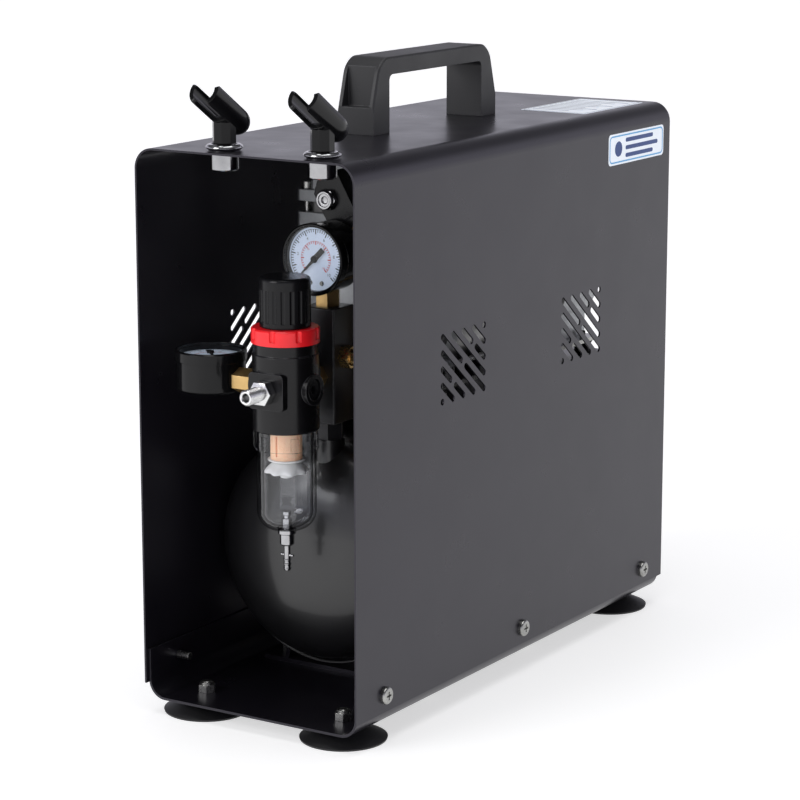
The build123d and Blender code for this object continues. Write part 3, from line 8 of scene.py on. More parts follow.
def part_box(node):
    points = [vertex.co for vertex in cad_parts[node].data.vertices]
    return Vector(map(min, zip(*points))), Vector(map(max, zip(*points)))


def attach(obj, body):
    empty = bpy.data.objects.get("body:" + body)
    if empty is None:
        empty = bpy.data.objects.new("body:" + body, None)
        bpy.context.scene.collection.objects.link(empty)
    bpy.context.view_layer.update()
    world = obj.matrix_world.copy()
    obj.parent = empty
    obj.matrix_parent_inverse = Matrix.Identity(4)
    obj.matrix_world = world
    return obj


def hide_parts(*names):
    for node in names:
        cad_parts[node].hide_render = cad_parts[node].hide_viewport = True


# Airbrush compressor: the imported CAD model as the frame, with finishes and finer pieces around it.
# Everything is in metres. X runs to the right, Y to the back, Z up from the floor.

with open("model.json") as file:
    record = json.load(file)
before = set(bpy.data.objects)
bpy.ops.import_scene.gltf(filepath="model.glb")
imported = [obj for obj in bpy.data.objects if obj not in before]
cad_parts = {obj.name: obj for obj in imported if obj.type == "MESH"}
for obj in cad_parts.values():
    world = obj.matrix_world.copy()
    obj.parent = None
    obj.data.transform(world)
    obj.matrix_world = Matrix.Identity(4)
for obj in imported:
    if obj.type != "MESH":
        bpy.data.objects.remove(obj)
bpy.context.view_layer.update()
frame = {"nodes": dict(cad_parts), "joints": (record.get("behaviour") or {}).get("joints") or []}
nodes = frame["nodes"]
print("frame loaded:", len(nodes), "nodes")

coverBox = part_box("cover")
coverMiddle = Vector([(coverBox[0][i] + coverBox[1][i]) / 2 for i in range(3)])


# Small helpers for materials
def newMaterial(name):
    material = bpy.data.materials.new(name)
    material.use_nodes = True
    tree = material.node_tree
    shader = tree.nodes["Principled BSDF"]
    coords = tree.nodes.new("ShaderNodeTexCoord")
    return material, tree, shader, coords.outputs["Object"]


def noiseTexture(tree, coords, scale, detail=3.0, stretch=None):
    if stretch:
        mapping = tree.nodes.new("ShaderNodeMapping")
        mapping.inputs["Scale"].default_value = stretch
        tree.links.new(coords, mapping.inputs["Vector"])
        coords = mapping.outputs["Vector"]
    texture = tree.nodes.new("ShaderNodeTexNoise")
    texture.inputs["Scale"].default_value = scale
    texture.inputs["Detail"].default_value = detail
    tree.links.new(coords, texture.inputs["Vector"])
    return texture.outputs["Fac"]


def colourRamp(tree, source, stops):
    ramp = tree.nodes.new("ShaderNodeValToRGB")
    elements = ramp.color_ramp.elements
    while len(elements) < len(stops):
        elements.new(0.5)
    for element, (place, colour) in zip(elements, stops):
        element.position = place
        element.color = (*colour, 1.0) if len(colour) == 3 else colour
    tree.links.new(source, ramp.inputs["Fac"])
    return ramp.outputs["Color"]


def greyRamp(tree, source, low, high, start=0.3, end=0.7):
    return colourRamp(tree, source, [(start, (low,) * 3), (end, (high,) * 3)])


def addBump(tree, shader, height, strength, distance, below=None):
    bump = tree.nodes.new("ShaderNodeBump")
    bump.inputs["Strength"].default_value = strength
    bump.inputs["Distance"].default_value = distance
    tree.links.new(height, bump.inputs["Height"])
    if below:
        tree.links.new(below, bump.inputs["Normal"])
    tree.links.new(bump.outputs["Normal"], shader.inputs["Normal"])
    return bump.outputs["Normal"]


def roundedNormal(tree, radius):
    bevel = tree.nodes.new("ShaderNodeBevel")
    bevel.samples = 6
    bevel.inputs["Radius"].default_value = radius
    return bevel.outputs["Normal"]


def edgeMask(tree, radius, start=0.86, end=0.985):
    # 1 along sharp edges, 0 on flats
    bevel = tree.nodes.new("ShaderNodeBevel")
    bevel.samples = 4
    bevel.inputs["Radius"].default_value = radius
    geometry = tree.nodes.new("ShaderNodeNewGeometry")
    dot = tree.nodes.new("ShaderNodeVectorMath")
    dot.operation = "DOT_PRODUCT"
    tree.links.new(bevel.outputs["Normal"], dot.inputs[0])
    tree.links.new(geometry.outputs["Normal"], dot.inputs[1])
    return greyRamp(tree, dot.outputs["Value"], 1.0, 0.0, start, end)


def mixColour(tree, factor, first, second, blend="MIX"):
    mix = tree.nodes.new("ShaderNodeMix")
    mix.data_type = "RGBA"
    mix.blend_type = blend
    sockets = {"Factor": 0, "A": 6, "B": 7}
    for key, value in (("Factor", factor), ("A", first), ("B", second)):
        socket = mix.inputs[sockets[key]]
        if isinstance(value, bpy.types.NodeSocket):
            tree.links.new(value, socket)
        elif key == "Factor":
            socket.default_value = value
        else:
            socket.default_value = (*value, 1.0)
    return mix.outputs[2]


def speckled(name, look):
    # A coated or moulded surface: slow colour drift, uneven gloss, fine relief, and paler edges that are part
    # chipped wear, part painted highlight
    material, tree, shader, coords = newMaterial(name)
    drift = noiseTexture(tree, coords, look["driftScale"], 4.0)
    dark = tuple(c * (1 - look["drift"]) for c in look["colour"])
    pale = tuple(min(1.0, c * (1 + look["drift"])) for c in look["colour"])
    colour = colourRamp(tree, drift, [(0.3, dark), (0.7, pale)])
    # Paler edges: chipped wear plus a painted highlight along every sharp edge
    if look.get("edge"):
        mask = edgeMask(tree, look.get("edgeRadius", 0.0006))
        chips = greyRamp(tree, noiseTexture(tree, coords, 420.0, 6.0), 0.25, 1.0, 0.35, 0.6)
        edgeWearAndHighlight = mixColour(tree, 1.0, mask, chips, "MULTIPLY")
        colour = mixColour(tree, edgeWearAndHighlight, colour, look["edge"])
    tree.links.new(colour, shader.inputs["Base Color"])
    gloss = noiseTexture(tree, coords, look.get("glossScale", 35.0), 5.0)
    spread = look.get("roughSpread", 0.05)
    rough = greyRamp(tree, gloss, look["rough"] - spread, look["rough"] + spread)
    tree.links.new(rough, shader.inputs["Roughness"])
    grain = noiseTexture(tree, coords, look["grainScale"], 2.0)
    rounded = roundedNormal(tree, look["round"]) if look.get("round") else None
    addBump(tree, shader, grain, look["grain"], look.get("grainDepth", 0.0002), rounded)
    shader.inputs["Metallic"].default_value = look.get("metal", 0.0)
    shader.inputs["Specular IOR Level"].default_value = look.get("specular", 0.5)
    shader.inputs["Specular Tint"].default_value = (*look.get("tint", (1.0, 1.0, 1.0)), 1.0)
    # Painted light: the part glows faintly blue though it is no lamp (dial faces, label film)
    if look.get("glow"):
        shader.inputs["Emission Color"].default_value = (0.74, 0.84, 1.0, 1.0)
        shader.inputs["Emission Strength"].default_value = look["glow"]
    shader.inputs["Coat Weight"].default_value = look.get("coat", 0.0)
    shader.inputs["Coat Roughness"].default_value = look.get("coatRough", 0.1)
    return material


def metalFinish(name, look):
    # Bare or plated metal: brushed or turned grain, stains, scratches in the gloss
    material, tree, shader, coords = newMaterial(name)
    stain = noiseTexture(tree, coords, look["stainScale"], 5.0)
    colour = colourRamp(tree, stain, [(0.25, look["dull"]), (0.65, look["colour"])])
    tree.links.new(colour, shader.inputs["Base Color"])
    brushed = noiseTexture(tree, coords, look["brushScale"], 4.0, look.get("stretch", (1.0, 1.0, 1.0)))
    spread = look.get("roughSpread", 0.08)
    rough = greyRamp(tree, brushed, look["rough"] - spread, look["rough"] + spread)
    tree.links.new(rough, shader.inputs["Roughness"])
    rounded = roundedNormal(tree, look.get("round", 0.0003))
    addBump(tree, shader, brushed, look["relief"], 0.0002, rounded)
    shader.inputs["Metallic"].default_value = 1.0
    return material


def thinClear(name, look):
    # Clear enough for light to reach what is behind: see-through plus a mirror-like surface, with painted
    # shade darkening the see-through colour towards the rims
    material, tree, shader, coords = newMaterial(name)
    tree.nodes.remove(shader)
    haze = noiseTexture(tree, coords, look["hazeScale"], 4.0)
    slope = tree.nodes.new("ShaderNodeLayerWeight").outputs["Facing"]
    through = tree.nodes.new("ShaderNodeBsdfTransparent")
    tint = colourRamp(tree, haze, [(0.3, look["tint"]), (0.8, look["tintDeep"])])
    # Painted shade: the see-through colour darkens towards grazing rims, standing in for the dark rims that
    # refraction would show
    edge = greyRamp(tree, slope, 1.0, look["edgeShade"], look["edgeStart"], 0.98)
    tree.links.new(mixColour(tree, 1.0, tint, edge, "MULTIPLY"), through.inputs["Color"])
    gloss = tree.nodes.new("ShaderNodeBsdfGlossy")
    tree.links.new(
        greyRamp(tree, haze, look["rough"], look["rough"] + look["haze"], 0.45, 0.75),
        gloss.inputs["Roughness"],
    )
    addBump(tree, gloss, noiseTexture(tree, coords, look["flowScale"], 1.0), look["flow"], 0.0003)
    blend = tree.nodes.new("ShaderNodeMixShader")
    tree.links.new(greyRamp(tree, slope, look["shine"], look["edgeShine"], 0.3, 1.0), blend.inputs["Fac"])
    tree.links.new(through.outputs["BSDF"], blend.inputs[1])
    tree.links.new(gloss.outputs["BSDF"], blend.inputs[2])
    output = tree.nodes["Material Output"]
    tree.links.new(blend.outputs["Shader"], output.inputs["Surface"])
    return material


powderCoatLook = {
    "colour": (0.0068, 0.0060, 0.0088),
    "drift": 0.15,
    "driftScale": 9.0,
    "rough": 0.30,
    "roughSpread": 0.03,
    "grain": 0.08,
    "grainScale": 1500.0,
    "grainDepth": 0.0001,
    # edge: paler edge colour, part wear and part painted highlight where the cut sheet edges catch the light
    "edge": (0.05, 0.05, 0.054),
    "edgeRadius": 0.0005,
    "specular": 0.5,
    "tint": (0.90, 0.87, 1.0),
}
tankPaintLook = {
    "colour": (0.004, 0.004, 0.0045),
    "drift": 0.15,
    "driftScale": 14.0,
    "rough": 0.36,
    "roughSpread": 0.04,
    "grain": 0.16,
    "grainScale": 260.0,
    "grainDepth": 0.0002,
    "coat": 0.5,
    "coatRough": 0.12,
}
handleLook = {
    "specular": 0.6,
    "colour": (0.013, 0.013, 0.0145),
    "drift": 0.07,
    "driftScale": 30.0,
    "rough": 0.5,
    "grain": 0.25,
    "grainScale": 2600.0,
    "grainDepth": 0.00012,
    "round": 0.0009,
    # edge: paler edge colour, part wear and part painted highlight
    "edge": (0.09, 0.09, 0.095),
    "edgeRadius": 0.0008,
}
knobLook = {
    "specular": 0.22,
    "colour": (0.007, 0.007, 0.008),
    "drift": 0.1,
    "driftScale": 60.0,
    "rough": 0.24,
    "grain": 0.2,
    "grainScale": 3000.0,
    "grainDepth": 0.0001,
    "round": 0.0004,
}
glossBlackLook = {
    "specular": 0.25,
    "colour": (0.004, 0.004, 0.0045),
    "drift": 0.1,
    "driftScale": 50.0,
    "rough": 0.15,
    "roughSpread": 0.04,
    "grain": 0.05,
    "grainScale": 700.0,
    "round": 0.0005,
}
regulatorLook = {
    "specular": 0.3,
    "colour": (0.005, 0.0048, 0.0055),
    "drift": 0.12,
    "driftScale": 70.0,
    "rough": 0.25,
    "grain": 0.12,
    "grainScale": 1800.0,
    "grainDepth": 0.0001,
    "round": 0.0007,
    # edge: paler edge colour, part wear and part painted highlight
    "edge": (0.06, 0.06, 0.065),
    "edgeRadius": 0.0007,
}
redLook = {
    "colour": (1.0, 0.014, 0.022),
    "drift": 0.06,
    "driftScale": 90.0,
    "rough": 0.34,
    "grain": 0.08,
    "grainScale": 1200.0,
    "round": 0.0005,
}
blockLook = {
    "colour": (0.022, 0.022, 0.024),
    "drift": 0.15,
    "driftScale": 60.0,
    "rough": 0.36,
    "grain": 0.2,
    "grainScale": 900.0,
    "round": 0.0006,
    "metal": 0.35,
    # edge: paler edge colour, part wear and part painted highlight
    "edge": (0.3, 0.3, 0.3),
    "edgeRadius": 0.0006,
}
rubberLook = {
    "colour": (0.009, 0.009, 0.010),
    "drift": 0.2,
    "driftScale": 60.0,
    "rough": 0.56,
    "grain": 0.3,
    "grainScale": 1300.0,
    "round": 0.0006,
}
shroudLook = {
    "colour": (0.010, 0.010, 0.011),
    "drift": 0.1,
    "driftScale": 40.0,
    "rough": 0.5,
    "grain": 0.2,
    "grainScale": 2000.0,
    "round": 0.0004,
}
whitePlasticLook = {
    "colour": (0.80, 0.80, 0.78),
    "drift": 0.03,
    "driftScale": 80.0,
    "rough": 0.4,
    "grain": 0.08,
    "grainScale": 1500.0,
}
dialFaceLook = {
    "colour": (0.30, 0.35, 0.47),
    # glow: painted light, the dial face glows though it is no lamp
    "glow": 0.34,
    "drift": 0.03,
    "driftScale": 80.0,
    "rough": 0.35,
    "grain": 0.05,
    "grainScale": 1500.0,
}
chromeLook = {
    "colour": (0.46, 0.46, 0.47),
    "dull": (0.34, 0.34, 0.35),
    "stainScale": 90.0,
    "brushScale": 400.0,
    "rough": 0.13,
    "roughSpread": 0.05,
    "relief": 0.03,
    "round": 0.0005,
}
nickelLook = {**chromeLook, "colour": (0.78, 0.78, 0.78), "dull": (0.62, 0.62, 0.62), "rough": 0.2}
zincLook = {
    "colour": (0.42, 0.42, 0.40),
    "dull": (0.28, 0.28, 0.27),
    "stainScale": 160.0,
    "brushScale": 900.0,
    "rough": 0.3,
    "relief": 0.12,
    "round": 0.0004,
}
brassLook = {
    "colour": (0.72, 0.50, 0.22),
    "dull": (0.56, 0.37, 0.15),
    "stainScale": 45.0,
    "brushScale": 700.0,
    "rough": 0.27,
    "relief": 0.1,
    "round": 0.0004,
}
castLook = {
    "colour": (0.42, 0.43, 0.44),
    "dull": (0.27, 0.28, 0.29),
    "stainScale": 45.0,
    "brushScale": 600.0,
    "rough": 0.45,
    "relief": 0.4,
    "round": 0.0008,
}
laminatedLook = {
    "colour": (0.60, 0.60, 0.59),
    "dull": (0.33, 0.32, 0.31),
    "stainScale": 30.0,
    "brushScale": 900.0,
    "stretch": (0.02, 1.0, 0.02),
    "rough": 0.36,
    "relief": 0.6,
}
ironLook = {
    "colour": (0.22, 0.22, 0.22),
    "dull": (0.13, 0.125, 0.12),
    "stainScale": 60.0,
    "brushScale": 500.0,
    "rough": 0.5,
    "relief": 0.5,
}
bowlLook = {
    "tint": (0.99, 0.99, 1.0),
    "tintDeep": (0.97, 0.98, 0.99),
    "edgeShade": 0.12,
    "edgeStart": 0.55,
    "shine": 0.035,
    "edgeShine": 0.4,
    "rough": 0.0,
    "haze": 0.015,
    "hazeScale": 25.0,
    "flowScale": 40.0,
    "flow": 0.01,
}
lensLook = {
    "tint": (0.99, 0.99, 0.99),
    "tintDeep": (0.96, 0.97, 0.97),
    "edgeShade": 0.9,
    "edgeStart": 0.9,
    "shine": 0.02,
    "edgeShine": 0.15,
    "rough": 0.0,
    "haze": 0.03,
    "hazeScale": 60.0,
    "flowScale": 30.0,
    "flow": 0.03,
}


def copperWinding():
    # Enamelled wire laid in turns
    material, tree, shader, coords = newMaterial("copperWinding")
    wave = tree.nodes.new("ShaderNodeTexWave")
    wave.bands_direction = "Y"
    wave.inputs["Scale"].default_value = 220.0
    wave.inputs["Distortion"].default_value = 1.5
    tree.links.new(coords, wave.inputs["Vector"])
    colour = colourRamp(tree, wave.outputs["Fac"], [(0.1, (0.20, 0.05, 0.02)), (0.8, (0.62, 0.22, 0.09))])
    tree.links.new(colour, shader.inputs["Base Color"])
    addBump(tree, shader, wave.outputs["Fac"], 0.8, 0.0004)
    shader.inputs["Metallic"].default_value = 0.6
    shader.inputs["Roughness"].default_value = 0.3
    shader.inputs["Coat Weight"].default_value = 0.6
    return material


def airLine(look):
    # Brass on the left, near black from x 30 to 34 mm on, where the line runs on under the cover's right side
    material, tree, shader, coords = newMaterial("airLine")
    split = tree.nodes.new("ShaderNodeSeparateXYZ")
    tree.links.new(coords, split.inputs["Vector"])
    side = tree.nodes.new("ShaderNodeMapRange")
    side.inputs["From Min"].default_value = look["changeStart"]
    side.inputs["From Max"].default_value = look["changeEnd"]
    tree.links.new(split.outputs["X"], side.inputs["Value"])
    stain = noiseTexture(tree, coords, brassLook["stainScale"], 5.0)
    brass = colourRamp(tree, stain, [(0.25, brassLook["dull"]), (0.65, brassLook["colour"])])
    tree.links.new(mixColour(tree, side.outputs["Result"], brass, look["rightColour"]), shader.inputs["Base Color"])
    metal = greyRamp(tree, side.outputs["Result"], 1.0, 0.0, 0.0, 1.0)
    tree.links.new(metal, shader.inputs["Metallic"])
    grain = noiseTexture(tree, coords, brassLook["brushScale"], 4.0)
    tree.links.new(greyRamp(tree, grain, 0.3, 0.44), shader.inputs["Roughness"])
    addBump(tree, shader, grain, 0.1, 0.0002, roundedNormal(tree, 0.0004))
    return material


airLineLook = {"changeStart": 0.030, "changeEnd": 0.034, "rightColour": (0.01, 0.01, 0.011)}


def sinteredFilter():
    # Pressed porous beads, peach coloured
    material, tree, shader, coords = newMaterial("sinteredFilter")
    beads = tree.nodes.new("ShaderNodeTexVoronoi")
    beads.inputs["Scale"].default_value = 900.0
    tree.links.new(coords, beads.inputs["Vector"])
    tone = colourRamp(
        tree, beads.outputs["Distance"], [(0.1, (1.0, 0.66, 0.42)), (0.8, (1.0, 0.58, 0.35))]
    )
    tree.links.new(tone, shader.inputs["Base Color"])
    addBump(tree, shader, beads.outputs["Distance"], 0.6, 0.0003)
    shader.inputs["Roughness"].default_value = 0.7
    shader.inputs["Subsurface Weight"].default_value = 0.2
    shader.inputs["Subsurface Radius"].default_value = (0.003, 0.0015, 0.001)
    return material


finishes = {
    "powderCoat": speckled("powderCoat", powderCoatLook),
    "tankPaint": speckled("tankPaint", tankPaintLook),
    "handlePlastic": speckled("handlePlastic", handleLook),
    "knobPlastic": speckled("knobPlastic", knobLook),
    "glossBlack": speckled("glossBlack", glossBlackLook),
    "regulatorPaint": speckled("regulatorPaint", regulatorLook),
    "redPlastic": speckled("redPlastic", redLook),
    "blockPaint": speckled("blockPaint", blockLook),
    "blackRubber": speckled("blackRubber", rubberLook),
    "shroudPlastic": speckled("shroudPlastic", shroudLook),
    "whitePlastic": speckled("whitePlastic", whitePlasticLook),
    "dialFace": speckled("dialFace", dialFaceLook),
    # The label film also glows a little: painted light, it is no lamp
    "labelFilm": speckled("labelFilm", {**dialFaceLook, "colour": (0.88, 0.93, 0.98), "glow": 0.12}),
    "chromePlate": metalFinish("chromePlate", chromeLook),
    "nickelPlate": metalFinish("nickelPlate", nickelLook),
    "zincPlate": metalFinish("zincPlate", zincLook),
    "machinedBrass": metalFinish("machinedBrass", brassLook),
    "castAluminium": metalFinish("castAluminium", castLook),
    "laminatedSteel": metalFinish("laminatedSteel", laminatedLook),
    "greyIron": metalFinish("greyIron", ironLook),
    "clearBowl": thinClear("clearBowl", bowlLook),
    "clearLens": thinClear("clearLens", lensLook),
    "copperWinding": copperWinding(),
    "sinteredFilter": sinteredFilter(),
    "airLine": airLine(airLineLook),
}

nodeFinish = {
    "powderCoat": ["cover", "base_tray", "tank_brackets"],
    "tankPaint": ["tank"],
    "handlePlastic": ["handle"],
    "knobPlastic": ["regulator_knob", "bonnet", "port_plug"],
    "glossBlack": [
        "airbrush_cradle_left",
        "airbrush_cradle_right",
        "gauge_cases",
        "switch_frame",
        "rocker",
    ],
    "regulatorPaint": ["regulator_body", "pressure_switch"],
    "redPlastic": ["regulator_ring", "safety_valve_pull"],
    "blockPaint": ["manifold_block"],
    "blackRubber": ["suction_feet", "pump_mounts", "cord_gland"],
    "shroudPlastic": ["fan_shroud", "cooling_fan", "intake_filters", "switch_box"],
    "whitePlastic": ["filter_baffle"],
    "labelFilm": ["labels"],
    "dialFace": ["gauge_dials"],
    "chromePlate": ["holder_bushings", "switch_nut", "drain_body", "drain_plunger"],
    "nickelPlate": ["outlet_nipple"],
    "zincPlate": [
        "cover_screws", "tray_fasteners", "pump_bolts", "bearings", "pump_base", "rotor",
    ],
    "machinedBrass": ["safety_valve", "tank_drain_screw"],
    "airLine": ["air_lines"],
    "castAluminium": [
        "crankcases",
        "crankcase_covers",
        "cylinders",
        "cylinder_heads",
        "motor_bells",
        "front_piston_rod",
        "rear_piston_rod",
    ],
    "laminatedSteel": ["motor_stator"],
    "greyIron": ["valve_plates", "cranks", "adjusting_screw", "regulator_spring"],
    "clearBowl": ["filter_bowl"],
    "clearLens": ["gauge_lenses"],
    "copperWinding": ["motor_winding"],
    "sinteredFilter": ["filter_element"],
}
pointerPaint = speckled("pointerPaint", {**glossBlackLook, "rough": 0.4})
for finish, names in nodeFinish.items():
    for name in names:
        nodes[name].data.materials.clear()
        nodes[name].data.materials.append(finishes[finish])
for name in ("tank_gauge_needle", "regulator_gauge_needle"):
    nodes[name].data.materials.clear()
    nodes[name].data.materials.append(pointerPaint)
print("finishes set")


# Small helpers for new pieces
def finishPiece(name, mesh, material, body, smooth=True):
    mesh.normal_update()
    data = bpy.data.meshes.new(name)
    mesh.to_mesh(data)
    mesh.free()
    piece = bpy.data.objects.new(name, data)
    bpy.context.scene.collection.objects.link(piece)
    data.materials.append(finishes[material] if isinstance(material, str) else material)
    if smooth:
        data.shade_smooth()
        data.set_sharp_from_angle(angle=radians(35))
    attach(piece, body)
    return piece


def flatMaterial(name, colour, rough, grainScale=1500.0):
    # Printing ink or film
    look = {
        "colour": colour,
        "drift": 0.04,
        "driftScale": 120.0,
        "rough": rough,
        "grain": 0.05,
        "grainScale": grainScale,
    }
    return speckled(name, look)


inkBlack = flatMaterial("inkBlack", (0.012, 0.012, 0.013), 0.45)
inkRed = flatMaterial("inkRed", (0.55, 0.03, 0.02), 0.45)
inkBlue = flatMaterial("inkBlue", (0.01, 0.05, 0.22), 0.4)
inkSky = flatMaterial("inkSky", (0.12, 0.42, 0.75), 0.4)
inkGrey = flatMaterial("inkGrey", (0.25, 0.25, 0.26), 0.5)

# Gauge dials: scales and figures
dialLook = {
    "scaleOuter": 0.0182,
    "tickLong": 0.0030,
    "tickShort": 0.0017,
    "tickWidth": 0.00048,
    "ticks": 50,
    "sweep": 270,
    "figureHeight": 0.0027,
    "figureRing": 0.0134,
    "innerOuter": 0.0108,
    "innerTick": 0.0013,
    "innerTicks": 30,
    "outerArc": 0.00025,
    "innerArc": 0.0002,
    "smallHeight": 0.0016,
    "smallRing": 0.0078,
    "lift": 0.00012,
}


def dialFrame(dial, facing):
    # Matrix from dial coordinates (x right, y up, z to the reader) to the model
    axes = {
        "front": Matrix(((1, 0, 0), (0, 0, -1), (0, 1, 0))),
        "up": Matrix(((0, -1, 0), (1, 0, 0), (0, 0, 1))),
    }[facing]
    return Matrix.Translation(dial) @ axes.to_4x4()


def dialTicks(place, look, count, outer, long, short, width, every, name, material):
    mesh = bmesh.new()
    for tick in range(count + 1):
        length = long if tick % every == 0 else short
        angle = radians(225 - look["sweep"] * tick / count)
        bar = bmesh.ops.create_grid(mesh, x_segments=1, y_segments=1, size=0.5)["verts"]
        bmesh.ops.scale(mesh, vec=(length, width * (1.5 if tick % every == 0 else 1), 1), verts=bar)
        bmesh.ops.translate(mesh, vec=(outer - length / 2, 0, look["lift"]), verts=bar)
        bmesh.ops.rotate(mesh, matrix=Matrix.Rotation(angle, 3, "Z"), verts=bar)
    bmesh.ops.transform(mesh, matrix=place, verts=mesh.verts)
    return finishPiece(name, mesh, material, "case", smooth=False)


def dialArc(place, radius, width, lift, name, material):
    mesh = bmesh.new()
    start = Matrix.Rotation(radians(225), 3, "Z") @ Vector((radius, 0, lift))
    end = Matrix.Rotation(radians(225), 3, "Z") @ Vector((radius + width, 0, lift))
    edge = mesh.edges.new((mesh.verts.new(start), mesh.verts.new(end)))
    bmesh.ops.spin(
        mesh, geom=[edge, *edge.verts], cent=(0, 0, 0), axis=(0, 0, -1), angle=radians(270), steps=72
    )
    bmesh.ops.transform(mesh, matrix=place, verts=mesh.verts)
    return finishPiece(name, mesh, material, "case", smooth=False)


def figure(text, place, height, name):
    curve = bpy.data.curves.new(name + "Curve", "FONT")
    curve.body = text
    curve.size = height
    curve.align_x = "CENTER"
    curve.align_y = "CENTER"
    holder = bpy.data.objects.new(name + "Holder", curve)
    bpy.context.scene.collection.objects.link(holder)
    bpy.context.view_layer.update()
    data = bpy.data.meshes.new_from_object(holder)
    bpy.data.objects.remove(holder)
    data.transform(place)
    return data


def joinMeshes(name, parts, material, body):
    mesh = bmesh.new()
    for part in parts:
        mesh.from_mesh(part)
        bpy.data.meshes.remove(part)
    return finishPiece(name, mesh, material, body, smooth=False)


def paintDial(name, place, look):
    dialTicks(
        place, look, look["ticks"], look["scaleOuter"], look["tickLong"], look["tickShort"],
        look["tickWidth"], 5, name + "OuterTicks", inkBlack,
    )
    dialTicks(
        place, look, look["innerTicks"], look["innerOuter"], look["innerTick"] * 1.6, look["innerTick"],
        look["tickWidth"], 5, name + "InnerTicks", inkRed,
    )
    dialArc(place, look["scaleOuter"], look["outerArc"], look["lift"], name + "OuterArc", inkBlack)
    dialArc(place, look["innerOuter"], look["innerArc"], look["lift"], name + "InnerArc", inkRed)
    figures = []
    for step in range(6):
        angle = radians(225 - look["sweep"] * step / 5)
        spot = Matrix.Translation(
            (look["figureRing"] * cos(angle), look["figureRing"] * sin(angle), look["lift"])
        )
        figures.append(
            figure(str(2 * step), place @ spot, look["figureHeight"], f"{name}Figure{step}")
        )
    joinMeshes(name + "Figures", figures, inkBlack, "case")
    smalls = []
    for step in range(4):
        angle = radians(225 - look["sweep"] * step / 3)
        ring = look["smallRing"]
        spot = Matrix.Translation((ring * cos(angle), ring * sin(angle), look["lift"]))
        smalls.append(figure(str(50 * step), place @ spot, look["smallHeight"], f"{name}Small{step}"))
    joinMeshes(name + "Smalls", smalls, inkRed, "case")


# Where the two dials face
joints = {joint["name"]: joint for joint in frame["joints"]}
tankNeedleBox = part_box("tank_gauge_needle")
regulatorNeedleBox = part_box("regulator_gauge_needle")
dialStation = {"staffDepth": 0.004, "dialThickness": 0.0006}


def dialCentres(station):
    # The staff starts 4 mm behind the dial's seat
    offset = station["staffDepth"] + station["dialThickness"]
    tank = Vector(joints["tank_gauge_turn"]["pos_m"])
    tank.y = tankNeedleBox[1][1] - offset
    regulator = Vector(joints["regulator_gauge_turn"]["pos_m"])
    regulator.z = regulatorNeedleBox[0][2] + offset
    return dialFrame(tank, "front"), dialFrame(regulator, "up")


tankFace, regulatorFace = dialCentres(dialStation)
paintDial("tankDial", tankFace, dialLook)
paintDial("regulatorDial", regulatorFace, dialLook)
print("dials printed")

# Pointers and dial screws
pointerLook = {
    "reach": 0.0155,
    "rootWidth": 0.0022,
    "tipWidth": 0.0007,
    "tail": 0.0088,
    "tailWidth": 0.0036,
    "thickness": 0.0005,
    "lift": 0.0015,
    "hubRadius": 0.0024,
    "hubHeight": 0.0013,
    "zero": 225,
}


def addBar(mesh, start, end, startWidth, endWidth, low, thickness):
    # A flat bar along x that narrows or widens from start to end
    verts = bmesh.ops.create_grid(mesh, x_segments=1, y_segments=1, size=0.5)["verts"]
    bmesh.ops.scale(mesh, vec=(end - start, 1, 1), verts=verts)
    bmesh.ops.translate(mesh, vec=((start + end) / 2, 0, low), verts=verts)
    near = [v for v in verts if v.co.x < (start + end) / 2]
    far = [v for v in verts if v.co.x > (start + end) / 2]
    bmesh.ops.scale(mesh, vec=(1, startWidth, 1), verts=near)
    bmesh.ops.scale(mesh, vec=(1, endWidth, 1), verts=far)
    faces = {face for vert in verts for face in vert.link_faces}
    raised = bmesh.ops.extrude_face_region(mesh, geom=list(faces), use_keep_orig=True)
    top = [g for g in raised["geom"] if isinstance(g, bmesh.types.BMVert)]
    bmesh.ops.translate(mesh, vec=(0, 0, thickness), verts=top)


def makePointer(name, place, body, node, look):
    mesh = bmesh.new()
    addBar(mesh, 0, look["reach"], look["rootWidth"], look["tipWidth"], look["lift"], look["thickness"])
    addBar(mesh, -look["tail"], 0, look["tailWidth"], look["tailWidth"], look["lift"], look["thickness"])
    hub = bmesh.ops.create_cone(
        mesh, cap_ends=True, segments=32, radius1=look["hubRadius"], radius2=look["hubRadius"] * 0.85,
        depth=look["hubHeight"],
    )["verts"]
    bmesh.ops.translate(mesh, vec=(0, 0, look["lift"] + look["hubHeight"] / 2 + 0.0002), verts=hub)
    bmesh.ops.rotate(mesh, matrix=Matrix.Rotation(radians(look["zero"]), 3, "Z"), verts=mesh.verts)
    bmesh.ops.transform(mesh, matrix=place, verts=mesh.verts)
    bmesh.ops.recalc_face_normals(mesh, faces=mesh.faces)
    pointer = finishPiece(name, mesh, pointerPaint, body)
    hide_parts(node)


makePointer("tankPointer", tankFace, "tank_pointer", "tank_gauge_needle", pointerLook)
makePointer("regulatorPointer", regulatorFace, "regulator_pointer", "regulator_gauge_needle", pointerLook)

dialScrewLook = {"spread": 0.0042, "below": 0.0150, "radius": 0.0016, "height": 0.0008}


def turned(mesh, profile, steps=48):
    # Spins a line of (radius, height) points about the local z axis
    points = [mesh.verts.new((radius, 0, height)) for radius, height in profile]
    edges = [mesh.edges.new(pair) for pair in zip(points, points[1:])]
    bmesh.ops.spin(
        mesh, geom=[*points, *edges], cent=(0, 0, 0), axis=(0, 0, 1), angle=2 * pi, steps=steps,
        use_merge=True,
    )
    bmesh.ops.remove_doubles(mesh, verts=mesh.verts, dist=1e-6)


